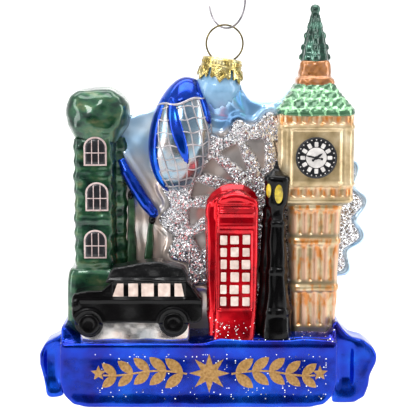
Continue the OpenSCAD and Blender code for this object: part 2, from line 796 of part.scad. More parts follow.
// The relief lies on the sky, behind the street and beside the towers
module wheel_relief() {
    hung() difference() {
        front_view(wheel_y, sky_y) difference() {
            translate([wheel_x, base_h + wheel_z]) children();
            translate([wheel_x - 100, base_h - 100]) square([200, 100]);
            chain_outline();
            posts_outline();
        }
        clock_envelope();
        egg_solid();
        neck_envelope();
    }
}

// The rim with the rounded ends of the capsules round it
module wheel_rim() {
    count = 24;
    color("silver") wheel_relief() difference() {
        union() {
            circle(wheel_r - 1.2, $fn = 96);
            for (i = [0:count - 1]) rotate(i * 360 / count) translate([wheel_r - 1.9, 0]) circle(1.9, $fn = 24);
        }
        circle(wheel_r - 4.2, $fn = 96);
    }
}

module wheel_spokes() {
    color("silver") wheel_relief() difference() {
        union() {
            circle(5);
            for (i = [0:15]) rotate(i * 22.5 + 6) translate([0, -0.8]) square([wheel_r - 4.2, 1.6]);
            difference() { circle(wheel_r * 0.62); circle(wheel_r * 0.62 - 1.8); }
        }
        difference() { circle(wheel_r + 10); circle(wheel_r - 4.2); }
    }
}

hook();
hanger_wire();
crown_cap();
neck();
sky();
sky_right();
road();
banner();
banner_tail_left();
banner_tail_right();
banner_scroll();
clock_shaft();
clock_belfry();
clock_roof();
clock_turret();
clock_spire();
clock_dial();
clock_numerals();
clock_hands();
phone_box();
phone_box_crown();
phone_box_panes();
lamp_post();
lamp_panes();
taxi_body();
taxi_luggage();
taxi_windows();
taxi_wheels();
taxi_bumper();
bridge_plinth();
bridge_shaft();
bridge_head();
bridge_windows();
bridge_chain();
bridge_posts();
egg_tower();
egg_tower_cap();
wheel_rim();
wheel_spokes();
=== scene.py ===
# %% [markdown]
# # A blown-glass skyline ornament
# The real object is one shell of glass, blown into a mould shaped as a row of landmarks on a banner,
# silvered inside, then painted outside with lacquers, enamel, printed decals and glitter. A stamped crown
# cap, a wire hanger and a wire hook finish it. The CAD frame holds every size and joint; this file gives it
# its looks. All shapes are worked out in "street" millimetres: x from the banner's middle, y into the
# picture, z up from the banner's underside. One function turns them into the frame's metres.

# %% Load the frame
import json
import math

import bmesh
import bpy
import numpy as np
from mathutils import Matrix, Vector
from mathutils.bvhtree import BVHTree


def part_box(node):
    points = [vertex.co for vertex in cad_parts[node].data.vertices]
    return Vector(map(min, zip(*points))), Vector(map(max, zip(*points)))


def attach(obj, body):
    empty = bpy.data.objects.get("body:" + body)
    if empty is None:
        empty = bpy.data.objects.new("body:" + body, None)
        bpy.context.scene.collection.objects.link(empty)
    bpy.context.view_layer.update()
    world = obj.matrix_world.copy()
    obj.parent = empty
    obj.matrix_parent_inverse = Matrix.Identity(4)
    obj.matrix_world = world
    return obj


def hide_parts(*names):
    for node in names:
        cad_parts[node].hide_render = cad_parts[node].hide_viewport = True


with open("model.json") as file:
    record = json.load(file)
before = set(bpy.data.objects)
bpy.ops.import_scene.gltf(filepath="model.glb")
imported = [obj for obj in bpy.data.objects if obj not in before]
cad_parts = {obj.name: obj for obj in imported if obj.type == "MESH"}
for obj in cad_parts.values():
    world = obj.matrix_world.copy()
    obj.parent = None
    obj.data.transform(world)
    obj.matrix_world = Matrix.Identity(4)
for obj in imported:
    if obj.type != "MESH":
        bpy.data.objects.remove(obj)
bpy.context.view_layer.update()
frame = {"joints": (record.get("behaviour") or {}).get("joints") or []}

MM = 0.001

# %% [markdown]
# The banner's underside is a flat, level thing to measure from, so the street is laid out from there.

# %% Street coordinates
banner_low, banner_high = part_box("banner")
STREET = np.array([(banner_low.x + banner_high.x) / 2, 0.0, banner_low.z])


def to_row(points):
    """Street millimetres to the frame's metres."""
    return np.asarray(points, float) * MM + STREET


def street_box(node):
    """A CAD node's lowest and highest corner in street millimetres."""
    low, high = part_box(node)
    return (np.array(low) - STREET) / MM, (np.array(high) - STREET) / MM


BANNER = street_box("banner")
BASE_H, BASE_W, FRONT = BANNER[1][2], BANNER[1][0] - BANNER[0][0], BANNER[0][1]
print("banner", BANNER[0].round(1), BANNER[1].round(1))

# %% [markdown]
# ## Shapes
# Blown glass has no sharp edge anywhere: it is pressed by air against a mould and freezes with round,
# slightly wandering surfaces. Each landmark is therefore roughed out from simple closed solids, fused by a
# voxel remesh as if it were one bubble, relaxed, and then pushed in and out by formulas that play the
# mould's part.

# %% Rough solids: prisms and lofts
def prism(outline, y0, y1):
    """Closed solid from a front outline of (x, z) points, between two depths."""
    n = len(outline)
    front = [(x, y0, z) for x, z in outline]
    back = [(x, y1, z) for x, z in outline]
    sides = [(i, (i + 1) % n, n + (i + 1) % n, n + i) for i in range(n)]
    return np.array(front + back), [tuple(range(n))[::-1], tuple(range(n, 2 * n))] + sides


def loft(rings):
    """Closed solid through a stack of rings of points, one after another."""
    n = len(rings[0])
    points = np.concatenate([np.asarray(r, float) for r in rings])
    faces = []
    for k in range(len(rings) - 1):
        for i in range(n):
            j = (i + 1) % n
            faces.append((k * n + i, k * n + j, (k + 1) * n + j, (k + 1) * n + i))
    faces.append(tuple(range(n))[::-1])
    faces.append(tuple(range((len(rings) - 1) * n, len(rings) * n)))
    return points, faces


def squircle(x, y, z, w, d, power=4.0, n=40):
    """A level ring between an ellipse (power 2) and a box (power 8 and more)."""
    a = np.arange(n) * 2 * math.pi / n
    c, s = np.cos(a), np.sin(a)
    px = np.sign(c) * np.abs(c) ** (2 / power) * w / 2
    py = np.sign(s) * np.abs(s) ** (2 / power) * d / 2
    return np.stack([x + px, y + py, np.full(n, float(z))], 1)


def column(x, y, profile, power=5.0):
    """A loft from (height, width, depth) rows, all on one axis."""
    return loft([squircle(x, y, z, w, d, power) for z, w, d in profile])


def ball(x, y, z, rx, ry, rz):
    """A loft of level rings from pole to pole, which stop just short of both."""
    rows, sides = [], 24
    for t in np.linspace(-0.49, 0.49, sides // 2) * math.pi:
        rows.append(squircle(x, y, z + rz * math.sin(t), 2 * rx * math.cos(t), 2 * ry * math.cos(t), 2.0,
                             sides))
    return loft(rows)


print("a loft of two rings has", len(loft([squircle(0, 0, z, 1, 1) for z in (0, 1)])[1]), "faces")

# %% [markdown]
# The voxel remesh fuses the solids, a smoothing modifier relaxes them, and the result is baked into a plain
# mesh, so that what follows can move its points with numpy.

# %% From solids to a relaxed glass skin
def make_object(name, points_mm, faces):
    mesh = bpy.data.meshes.new(name)
    mesh.from_pydata([tuple(p) for p in to_row(points_mm)], [], [tuple(f) for f in faces])
    mesh.update()
    made = bpy.data.objects.new(name, mesh)
    bpy.context.scene.collection.objects.link(made)
    return made


def join_solids(solids):
    points, faces, start = [], [], 0
    for p, f in solids:
        points.append(np.asarray(p, float))
        faces += [tuple(i + start for i in face) for face in f]
        start += len(p)
    return np.concatenate(points), faces


def bake(made):
    """Applies every modifier on an object to its mesh."""
    graph = bpy.context.evaluated_depsgraph_get()
    mesh = bpy.data.meshes.new_from_object(made.evaluated_get(graph))
    made.modifiers.clear()
    old = made.data
    made.data = mesh
    bpy.data.meshes.remove(old)
    return made


def face_out(made):
    """Turns every face's normal outward."""
    shape = bmesh.new()
    shape.from_mesh(made.data)
    bmesh.ops.recalc_face_normals(shape, faces=shape.faces)
    shape.to_mesh(made.data)
    shape.free()
    made.data.shade_smooth()


def moulded(name, solids, voxel, relax, relief=None, settle=1):
    """A glass skin over the solids; relief(points, normals) gives each point's move outward, in mm."""
    made = make_object(name, *join_solids(solids))
    face_out(made)
    fuse = made.modifiers.new("fuse", "REMESH")
    fuse.mode, fuse.voxel_size, fuse.use_smooth_shade = "VOXEL", voxel * MM, True
    ease = made.modifiers.new("ease", "SMOOTH")
    ease.factor, ease.iterations = 0.5, relax
    bake(made)
    if relief:
        n = len(made.data.vertices)
        at, out = np.empty(n * 3, np.float32), np.empty(n * 3, np.float32)
        made.data.vertices.foreach_get("co", at)
        made.data.vertex_normals.foreach_get("vector", out)
        at, out = at.reshape(-1, 3).astype(float), out.reshape(-1, 3).astype(float)
        here = (at - STREET) / MM
        here = here + out * np.asarray(relief(here, out))[:, None]
        made.data.vertices.foreach_set("co", to_row(here).astype(np.float32).ravel())
        if settle:
            ease = made.modifiers.new("settle", "SMOOTH")
            ease.factor, ease.iterations = 0.5, settle
            bake(made)
    made.data.shade_smooth()
    print(f"{name}: {len(made.data.polygons)} faces")
    return made


# %% [markdown]
# A mould's relief is a sum of soft steps and waves. Each formula below takes an array of points, so a whole
# skin is worked out at once.

# %% Relief formulas
def ramp(value, low, high):
    """0 below low, 1 above high, smooth between."""
    t = np.clip((value - low) / (high - low), 0, 1)
    return t * t * (3 - 2 * t)


def inside(value, low, high, soft):
    """1 between low and high, falling to 0 over a soft edge."""
    return ramp(value, low - soft, low) * (1 - ramp(value, high, high + soft))


def wander(p, size, seed=0.0):
    """A slow, smooth unevenness between -1 and 1, as blown glass has."""
    q = p / size
    return (np.sin(q[:, 0] * 2.1 + seed) * np.cos(q[:, 2] * 1.7 + seed * 1.3)
            + np.sin(q[:, 1] * 2.3 + q[:, 2] * 1.1 + seed * 0.7) * 0.6) / 1.6


def facing(out, x=0, y=0, z=0):
    """How far a surface faces one way, from 0 to 1."""
    return ramp(out[:, 0] * x + out[:, 1] * y + out[:, 2] * z, 0.45, 0.85)


def uneven(*waves):
    """A relief of nothing but unevenness, from rows of height, size and seed."""
    return lambda p, out: sum(height * wander(p, size, seed) for height, size, seed in waves)


print("a soft step at its middle", ramp(0.5, 0, 1))

# %% [markdown]
# Decals and panes are laid on the glass after it is blown, so they follow its swells. Each one is a thin
# closed plate whose points are dropped onto the piece under them from the front.

# %% Plates and wires
def face_of(target):
    """A function that gives the depth of a piece's front at (x, z), in street mm."""
    tree = BVHTree.FromObject(target, bpy.context.evaluated_depsgraph_get())

    def depth(x, z, missing=0.0):
        start = to_row((x, -80.0, z))
        hit = tree.ray_cast(Vector(start), Vector((0, 1, 0)))[0]
        return missing if hit is None else (hit.y - STREET[1]) / MM
    return depth


def laid(outline, depth, proud=0.18, sunk=0.35):
    """A thin plate inside a front outline, laid on a face."""
    outline = np.asarray(outline, float)
    middle = outline.mean(0)

    def ring(share, lift):
        rim = middle + (outline - middle) * share
        return [(x, depth(x, z) - lift, z) for x, z in rim]
    return loft([ring(0.05, -sunk), ring(1.0, -sunk), ring(1.0, proud * 0.55)]
                + [ring(share, proud) for share in (0.96, 0.75, 0.5, 0.25, 0.05)])


def rounded_box(x0, x1, z0, z1, r, n=5):
    corners = [(x1 - r, z1 - r, 0), (x0 + r, z1 - r, 90), (x0 + r, z0 + r, 180), (x1 - r, z0 + r, 270)]
    points = []
    for cx, cz, start in corners:
        for k in range(n):
            a = math.radians(start + 90 * k / (n - 1))
            points.append((cx + r * math.cos(a), cz + r * math.sin(a)))
    return points


def disc(x, z, r, n=40):
    a = np.arange(n) * 2 * math.pi / n
    return np.stack([x + r * np.cos(a), z + r * np.sin(a)], 1)


def flat_piece(name, solids):
    """A piece made straight from its solids, with no remesh."""
    made = make_object(name, *join_solids(solids))
    face_out(made)
    print(f"{name}: {len(made.data.polygons)} faces")
    return made


# %% [markdown]
# A wire is a round section carried along a path. Each ring starts from the one before it, so the wire
# doesn't twist, and the ends are closed.

# %% Wires, and how a piece is handed to the frame
def tube(path, radius, n=10):
    """A round tube with closed ends along street points; radius is one number or one for each point."""
    path = [np.asarray(p, float) for p in path]
    radii = np.broadcast_to(np.asarray(radius, float), (len(path),))
    side = None
    rings = []
    for i, p in enumerate(path):
        a, b = path[max(i - 1, 0)], path[min(i + 1, len(path) - 1)]
        along = (b - a) / np.linalg.norm(b - a)
        if side is None:
            side = np.cross(along, [0.3, 1.0, 0.2])
        side = side - along * side.dot(along)
        side = side / np.linalg.norm(side)
        up = np.cross(along, side)
        turn = np.arange(n) * 2 * math.pi / n
        rings.append(p + radii[i] * (np.cos(turn)[:, None] * side + np.sin(turn)[:, None] * up))
    return loft(rings)


def place(made, body, slot, material, *nodes):
    """Gives a piece its body and finish, and hides the CAD nodes that it stands for."""
    made.data.materials.clear()
    made.data.materials.append(material)
    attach(made, body)
    if nodes:
        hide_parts(*nodes)
    return made


# %% [markdown]
# ## Finishes
# Colours are given as the sRGB hex values that the eye would pick, and one function turns them to linear
# light.

# %% Colour and node helpers
def colour(hex_code):
    """sRGB hex to linear RGBA."""
    parts = [int(hex_code[i:i + 2], 16) / 255 for i in (1, 3, 5)]
    return tuple(c / 12.92 if c <= 0.04045 else ((c + 0.055) / 1.055) ** 2.4 for c in parts) + (1.0,)


def add(tree, kind, values=None, links=None, stops=None, **settings):
    """Adds a shader node with its settings, socket values, links and, on a ramp, its colour stops."""
    made = tree.nodes.new("ShaderNode" + kind)
    for key, value in settings.items():
        setattr(made, key, value)
    for key, value in (values or {}).items():
        made.inputs[key].default_value = value
    for key, source in (links or {}).items():
        tree.links.new(source, made.inputs[key])
    for position, code in (stops or []):
        made.color_ramp.elements.new(position).color = colour(code)
    if stops:
        made.color_ramp.elements.remove(made.color_ramp.elements[0])
        made.color_ramp.elements.remove(made.color_ramp.elements[-1])
    return made


def new_material(name):
    """An empty material, its node tree, and the point on the piece that a pattern is worked out at."""
    made = bpy.data.materials.new(name)
    made.use_nodes = True
    tree = made.node_tree
    tree.nodes.clear()
    return made, tree, add(tree, "TexCoord").outputs["Object"]


def per_mm(size):
    """The scale of a pattern whose features are size millimetres across."""
    return 1 / (size * MM)


print("half grey in linear light", round(colour("#808080")[0], 3))

# %% [markdown]
# Silvered glass under a translucent lacquer: the eye sees a mirror through a coloured film, under a second,
# clear reflection from the lacquer's own surface. It is a tinted metal with a clear coat. The film is
# dabbed on by hand, so its colour runs thick and thin over 3 to 13 mm, and the glass under it ripples a
# little.

# %% Finish: lacquer over silvered glass
def silvered_lacquer(name, stops, blotch=9.0, metallic=0.82, rough=(0.2, 0.36), ripple=0.25, seed=0.0,
                     squash=1.0, coat=0.9):
    made, tree, where = new_material(name)
    if squash != 1.0:
        where = add(tree, "Mapping", {"Scale": (1.0, 1.0, squash)}, {"Vector": where}).outputs["Vector"]
    film = add(tree, "TexNoise", {"W": seed, "Scale": per_mm(blotch), "Detail": 3.0, "Roughness": 0.55},
               {"Vector": where}, noise_dimensions="4D")
    tint = add(tree, "ValToRGB", links={"Fac": film.outputs["Fac"]}, stops=stops)
    wear = add(tree, "TexNoise", {"W": seed + 3, "Scale": per_mm(3.0)}, {"Vector": where},
               noise_dimensions="4D")
    gloss = add(tree, "MapRange", {"From Min": 0.3, "From Max": 0.7, "To Min": rough[0],
                                   "To Max": rough[1]},
                {"Value": wear.outputs["Fac"]})
    waves = add(tree, "TexNoise", {"W": seed + 5, "Scale": per_mm(5.0), "Detail": 1.5}, {"Vector": where},
                noise_dimensions="4D")
    bump = add(tree, "Bump", {"Strength": ripple, "Distance": 0.4 * MM}, {"Height": waves.outputs["Fac"]})
    shader = add(tree, "BsdfPrincipled",
                 {"Metallic": metallic, "Coat Weight": coat, "Coat Roughness": 0.07, "Coat IOR": 1.5},
                 {"Base Color": tint.outputs["Color"], "Roughness": gloss.outputs["Result"],
                  "Normal": bump.outputs["Normal"]})
    add(tree, "OutputMaterial", links={"Surface": shader.outputs["BSDF"]})
    return made


banner_blue = silvered_lacquer("cobalt_lacquer_on_silvered_glass",
                               [(0.26, "#2A1170"), (0.38, "#0A2094"), (0.5, "#0030AE"), (0.62, "#0046C4"),
                                (0.76, "#0864DC")], 13, 0.88, (0.16, 0.3), 0.35, seed=1, coat=0.3)
pod_blue = silvered_lacquer("bright_cobalt_lacquer_on_silvered_glass",
                            [(0.3, "#041E8A"), (0.55, "#0046C0"), (0.8, "#0A7CE8")], 6, 0.8, (0.14, 0.26),
                            seed=2, coat=0.3)
neck_grey = silvered_lacquer("matt_steel_blue_wash_on_glass",
                             [(0.3, "#5F8DB0"), (0.6, "#7FAACB"), (0.8, "#93B8D2")], 6, 0.25, (0.45, 0.6),
                             0.12, seed=5)
tower_green = silvered_lacquer("bottle_green_lacquer_on_silvered_glass",
                               [(0.26, "#08170F"), (0.4, "#14382A"), (0.52, "#265538"), (0.64, "#4A6240"),
                                (0.78, "#83805E")], 5.5, 0.65, (0.26, 0.44), 0.5, seed=6, squash=1.7)
post_green = silvered_lacquer("dark_green_lacquer_on_silvered_glass",
                              [(0.3, "#15281B"), (0.55, "#2F5436"), (0.8, "#4F6E48")], 4, 0.5, (0.3, 0.45),
                              seed=12)
spire_green = silvered_lacquer("deep_green_lacquer_on_silvered_glass",
                               [(0.3, "#0A241B"), (0.52, "#1A4636"), (0.76, "#5B8C78")], 2.6, 0.7,
                               (0.2, 0.36), 0.4, seed=7)
terracotta = silvered_lacquer("terracotta_lacquer_on_silvered_glass",
                              [(0.3, "#7E4A28"), (0.48, "#AE7038"), (0.62, "#AE7A5A"), (0.76, "#CC9656")],
                              3.2, 0.5, (0.26, 0.4), 0.5, seed=9)
phone_red = silvered_lacquer("scarlet_lacquer_on_silvered_glass",
                             [(0.25, "#5A0610"), (0.42, "#B30014"), (0.6, "#E4001A"), (0.8, "#FF1E2E")], 8,
                             0.7, (0.12, 0.24), 0.3, seed=10, coat=0.35)
egg_silver = silvered_lacquer("thin_blue_wash_on_silvered_glass",
                              [(0.3, "#56728A"), (0.48, "#86A2B4"), (0.62, "#A59C98"), (0.78, "#927A6E")],
                              7, 0.8, (0.14, 0.28), 0.4, seed=4)
# the pinkish stop of the road's ramp is a painted highlight on the silvering
road_silver = silvered_lacquer("clear_lacquer_on_silvered_glass",
                               [(0.3, "#9A9C9E"), (0.5, "#D9D3CE"), (0.7, "#CDAE9E")], 7, 0.85,
                               (0.12, 0.25), 0.6, seed=13)
print("lacquers", len(bpy.data.materials))

# %% [markdown]
# The roof is mint enamel with short dark green strokes between the raised courses, which a brick pattern
# lays out: strokes near 4 mm long and 2.4 mm high, with a mint line of 0.5 mm round them, all shaken by the
# hand.

# %% Finish: roof with brushed courses
roof_dabs, tree, where = new_material("mint_enamel_with_green_strokes")
shaky = add(tree, "TexNoise", {"W": 2.0, "Scale": per_mm(2.5)}, {"Vector": where}, noise_dimensions="4D")
shift = add(tree, "VectorMath", {1: (0.5, 0.5, 0.5)}, {0: shaky.outputs["Color"]}, operation="SUBTRACT")
shift = add(tree, "VectorMath", {"Scale": 3.6 * MM}, {0: shift.outputs["Vector"]}, operation="SCALE")
shaken = add(tree, "VectorMath", links={0: where, 1: shift.outputs["Vector"]}, operation="ADD")
part = add(tree, "SeparateXYZ", links={"Vector": shaken.outputs["Vector"]})
flat = add(tree, "CombineXYZ", links={"X": part.outputs["X"], "Y": part.outputs["Z"]})
courses = add(tree, "TexBrick", {"Scale": 1.0, "Brick Width": 4.2 * MM, "Row Height": 2.9 * MM,
                                 "Mortar Size": 0.5 * MM, "Mortar Smooth": 0.6, "Color1": colour("#2E5A3C"),
                                 "Color2": colour("#4E8058"),
                                 "Mortar": colour("#94CC98")}, {"Vector": flat.outputs["Vector"]})
raised = add(tree, "Bump", {"Strength": 0.5, "Distance": 0.3 * MM}, {"Height": courses.outputs["Fac"]})
shader = add(tree, "BsdfPrincipled", {"Metallic": 0.45, "Roughness": 0.3, "Coat Weight": 0.7,
                                      "Coat Roughness": 0.1},
             {"Base Color": courses.outputs["Color"], "Normal": raised.outputs["Normal"]})
add(tree, "OutputMaterial", links={"Surface": shader.outputs["BSDF"]})
print(roof_dabs.name, len(tree.nodes), "nodes")

# %% [markdown]
# The taxi and the lamp post are under opaque gloss black lacquer. Nothing of the silver shows: it is a
# dielectric, nearly black, with a hard wet gloss. Enamels and printed decals are the same kind of paint,
# duller and thinner.

# %% Finish: gloss black lacquer, enamels and prints
def paint(name, stops, rough, coat, blotch=3.0, ripple=0.15, seed=0.0, metallic=0.0, grain=1.6, level=0.5):
    made, tree, where = new_material(name)
    film = add(tree, "TexNoise", {"W": seed, "Scale": per_mm(blotch), "Detail": 3.0}, {"Vector": where},
               noise_dimensions="4D")
    tint = add(tree, "ValToRGB", links={"Fac": film.outputs["Fac"]}, stops=stops)
    waves = add(tree, "TexNoise", {"W": seed + 2, "Scale": per_mm(grain)}, {"Vector": where},
                noise_dimensions="4D")
    bump = add(tree, "Bump", {"Strength": ripple, "Distance": 0.12 * MM}, {"Height": waves.outputs["Fac"]})
    shader = add(tree, "BsdfPrincipled",
                 {"Metallic": metallic, "Roughness": rough, "Coat Weight": coat, "Coat Roughness": 0.05,
                  "Specular IOR Level": level},
                 {"Base Color": tint.outputs["Color"], "Normal": bump.outputs["Normal"]})
    add(tree, "OutputMaterial", links={"Surface": shader.outputs["BSDF"]})
    return made


black_gloss = paint("gloss_black_lacquer", [(0.3, "#030303"), (0.7, "#090809")], 0.2, 0.06, 8, 0.5, 20,
                    grain=3.0, level=0.2)
luggage_grey = paint("speckled_charcoal_lacquer", [(0.35, "#060607"), (0.64, "#151516"), (0.76, "#5E5E5C")],
                     0.3, 0.25, 0.6, 0.6, 21, level=0.25)
pane_pink = paint("pale_pink_enamel", [(0.3, "#BFA79C"), (0.55, "#DCC6BA"), (0.8, "#F1E6DE")], 0.3, 0.4,
                  2.2, 0.3, 22)
pane_amber = paint("amber_enamel", [(0.3, "#6E5E1E"), (0.48, "#B89E22"), (0.7, "#E8D034")], 0.25, 0.5, 2.4,
                   0.3, 23)
print_black = paint("black_printed_decal", [(0.3, "#0B0B0E"), (0.7, "#1A1A20")], 0.36, 0.3, 1.0, 0.1, 24)
print_ivory = paint("ivory_printed_decal", [(0.3, "#BDB8B4"), (0.6, "#D9D4CF"), (0.8, "#EEEAE4")], 0.4, 0.3,
                    1.5, 0.1, 25)
print_pink = paint("pale_pink_printed_decal", [(0.3, "#B39A96"), (0.6, "#CDB8B4"), (0.8, "#DED0CC")], 0.4,
                   0.3, 1.2, 0.1, 26)
gold_leaf = paint("bronze_powder_print", [(0.3, "#8C6634"), (0.5, "#AC8248"), (0.75, "#C49C62")], 0.42, 0.2,
                  0.8, 0.4, 27, 0.5, 0.4)
lattice_white = paint("raised_pearl_enamel_line", [(0.3, "#948E92"), (0.7, "#C6BEC0")], 0.28, 0.6, 1.5, 0.2,
                      28, 0.3)
print("finishes so far", len(bpy.data.materials))

# %% [markdown]
# Glitter is thousands of aluminised film flakes, each a tiny mirror at its own angle, in clear glue. A cell
# pattern gives every flake a cell of its own with one random tilt. Real flakes are taken to be 0.2 mm
# across, and are drawn coarser, at 0.42 mm.

# %% Finish: glitter, and the loose flakes
glitter, tree, where = new_material("aluminised_glitter_in_clear_glue")
cells = add(tree, "TexVoronoi", {"Scale": per_mm(0.42)}, {"Vector": where}, voronoi_dimensions="3D",
            feature="F1")
spread = add(tree, "VectorMath", {1: (0.5, 0.5, 0.5)}, {0: cells.outputs["Color"]}, operation="SUBTRACT")
tilt = add(tree, "VectorMath", {"Scale": 1.4}, {0: spread.outputs["Vector"]}, operation="SCALE")
around_normal = add(tree, "NewGeometry").outputs["Normal"]
lean = add(tree, "VectorMath", links={0: around_normal, 1: tilt.outputs["Vector"]}, operation="ADD")
flake_normal = add(tree, "VectorMath", links={0: lean.outputs["Vector"]}, operation="NORMALIZE")
dice = add(tree, "SeparateXYZ", links={"Vector": cells.outputs["Color"]})
shade = add(tree, "ValToRGB", links={"Fac": dice.outputs["X"]},
            stops=[(0.01, "#86868A"), (0.3, "#B4B2B4"), (0.55, "#DEDCDE"), (0.75, "#FFFFFF"),
                   (0.99, "#FFFFFF")])
shader = add(tree, "BsdfPrincipled", {"Metallic": 0.75, "Roughness": 0.25},
             {"Base Color": shade.outputs["Color"], "Normal": flake_normal.outputs["Vector"]})
add(tree, "OutputMaterial", links={"Surface": shader.outputs["BSDF"]})
flake_silver = paint("loose_aluminised_flake", [(0.3, "#E4E6EA"), (0.7, "#FFFFFF")], 0.15, 0.0, 0.4, 0.0,
                     29, 0.9)
print(glitter.name, len(tree.nodes), "nodes")

# %% [markdown]
# The metals: the cap is thin sheet stamped in a die, brass plated and aged dark in its hollows; the hanger
# is drawn brass wire; the hook is drawn steel wire.

# %% Finish: stamped, drawn and aged metals
def metal(name, stops, rough, blotch, ripple, seed):
    made, tree, where = new_material(name)
    age = add(tree, "TexNoise", {"W": seed, "Scale": per_mm(blotch), "Detail": 3.0}, {"Vector": where},
              noise_dimensions="4D")
    tint = add(tree, "ValToRGB", links={"Fac": age.outputs["Fac"]}, stops=stops)
    scratches = add(tree, "TexNoise", {"W": seed + 2, "Scale": per_mm(0.5), "Detail": 3.0},
                    {"Vector": where}, noise_dimensions="4D")
    gloss = add(tree, "MapRange", {"From Min": 0.3, "From Max": 0.7, "To Min": rough[0],
                                   "To Max": rough[1]},
                {"Value": scratches.outputs["Fac"]})
    bump = add(tree, "Bump", {"Strength": ripple, "Distance": 0.06 * MM},
               {"Height": scratches.outputs["Fac"]})
    shader = add(tree, "BsdfPrincipled", {"Metallic": 1.0},
                 {"Base Color": tint.outputs["Color"], "Roughness": gloss.outputs["Result"],
                  "Normal": bump.outputs["Normal"]})
    add(tree, "OutputMaterial", links={"Surface": shader.outputs["BSDF"]})
    return made


cap_brass = metal("stamped_brass_plated_tinplate",
                  [(0.34, "#8A7638"), (0.48, "#BCA868"), (0.6, "#DCCC92"), (0.72, "#EFE6BE")],
                  (0.2, 0.32), 2.4, 0.15, 31)
wire_brass = metal("aged_drawn_brass_wire", [(0.3, "#3A311C"), (0.55, "#74663C"), (0.8, "#B5A570")],
                   (0.28, 0.46), 2.0, 0.3, 33)
hook_steel = metal("drawn_steel_hook_wire", [(0.3, "#6F6A6E"), (0.6, "#9A969A"), (0.8, "#C4C2C4")],
                   (0.22, 0.36), 3.0, 0.2, 35)
print("metals", cap_brass.name, wire_brass.name, hook_steel.name)

# %% [markdown]
# ## Camera, floor and light
# The ornament hangs in front of a pale sweep, in a light tent: broad soft panels at both sides and above,
# and a dimmer room behind the camera, which is what the silvered glass shows on its front.

# %% Camera
CAMERA_BACK, CAMERA_UP = 430.0, math.radians(8)
SENSOR, IMAGE_SIDE, PER_MM = 36.0, 416, 3.0
look_at = to_row([3.1, 0.0, 63.8])
camera_at = look_at + np.array([0, -math.cos(CAMERA_UP), math.sin(CAMERA_UP)]) * CAMERA_BACK * MM
camera_data = bpy.data.cameras.new("camera")
camera_data.sensor_width = SENSOR
camera_data.lens = SENSOR * PER_MM * CAMERA_BACK / IMAGE_SIDE
camera = bpy.data.objects.new("camera", camera_data)
camera.location = camera_at
camera.rotation_euler = (Vector(look_at) - Vector(camera_at)).to_track_quat("-Z", "Y").to_euler()
bpy.context.scene.collection.objects.link(camera)
bpy.context.scene.camera = camera
print("lens", round(camera_data.lens, 1))

# %% [markdown]
# The floor is a wide sheet of paper that curves up into the wall, so there is no line behind the ornament.

# %% The pale sweep
FLOOR_DROP, BEND_AT, BEND_R, WALL_TOP, SWEEP_HALF = 60.0, 700, 300, 1600, 2500
sweep_profile = [(-1500, -FLOOR_DROP), (BEND_AT, -FLOOR_DROP)]
sweep_profile += [(BEND_AT + BEND_R * math.sin(a), -FLOOR_DROP + BEND_R - BEND_R * math.cos(a))
                  for a in np.linspace(0.1, math.pi / 2, 14)]
sweep_profile += [(BEND_AT + BEND_R, WALL_TOP)]
sweep_points = [(x, y, z) for y, z in sweep_profile for x in (-SWEEP_HALF, SWEEP_HALF)]
sweep_faces = [(2 * i, 2 * i + 1, 2 * i + 3, 2 * i + 2) for i in range(len(sweep_profile) - 1)]
sweep = make_object("sweep", sweep_points, sweep_faces)
sweep.data.shade_smooth()
sweep.data.materials.append(
    paint("pale_paper_sweep", [(0.3, "#F7F7F6"), (0.7, "#FBFBFA")], 0.8, 0.0, 300, 0.0, 40))
print("sweep", len(sweep_faces), "faces")

# %% [markdown]
# The panels are large for their distance, so each shows as a broad soft patch on the curved glass.

# %% Light
def panel(name, at, size, power, target=(0, 0, 60)):
    """A soft panel aimed at a point of the street."""
    data = bpy.data.lights.new(name, "AREA")
    data.shape, data.size, data.size_y = "RECTANGLE", size[0] * MM, size[1] * MM
    data.energy = power
    made = bpy.data.objects.new(name, data)
    where, aim = to_row(at), to_row(target)
    made.location = where
    made.rotation_euler = (Vector(aim) - Vector(where)).to_track_quat("-Z", "Y").to_euler()
    bpy.context.scene.collection.objects.link(made)


panel("left_panel", (-620, -260, 200), (200, 700), 2.2)
panel("right_panel", (640, -120, 180), (200, 700), 2.0)
panel("top_panel", (0, -120, 640), (600, 300), 2.6)
panel("front_fill", (-260, -820, 560), (260, 200), 2.2)
panel("sweep_light", (0, 300, 900), (1600, 400), 9.0, (0, 1000, 100))
world = bpy.data.worlds.new("tent")
bpy.context.scene.world = world
world.use_nodes = True
world.node_tree.nodes.clear()
tree = world.node_tree
tent = add(tree, "Background", {"Color": colour("#F4F6FA"), "Strength": 0.6})
add(tree, "OutputWorld", links={"Surface": tent.outputs["Background"]})
bpy.context.scene.view_settings.view_transform = "Standard"
bpy.context.scene.view_settings.look = "None"

# %% [markdown]
# A black velvet flag stands in front, where only reflections find it, so that the glass fronts read deep.

# %% Velvet flag
flag = make_object("flag", [(-150, -300, -55), (150, -300, -55), (150, -300, 120), (-150, -300, 120)],
                   [(0, 1, 2, 3)])
flag.data.materials.append(
    paint("black_velvet", [(0.3, "#050505"), (0.7, "#080808")], 0.9, 0.0, 5, 0.0, 41))
flag.visible_camera = flag.visible_diffuse = flag.visible_shadow = flag.visible_transmission = False
print("flag material", flag.data.materials[0].name)

# %% [markdown]
# ## The banner
# A thick folded ribbon of glass that everything stands on. Its front is nearly flat, with a rolled upper
# edge, and its top runs up into what stands on it. The ends rise where the ribbon folds back.

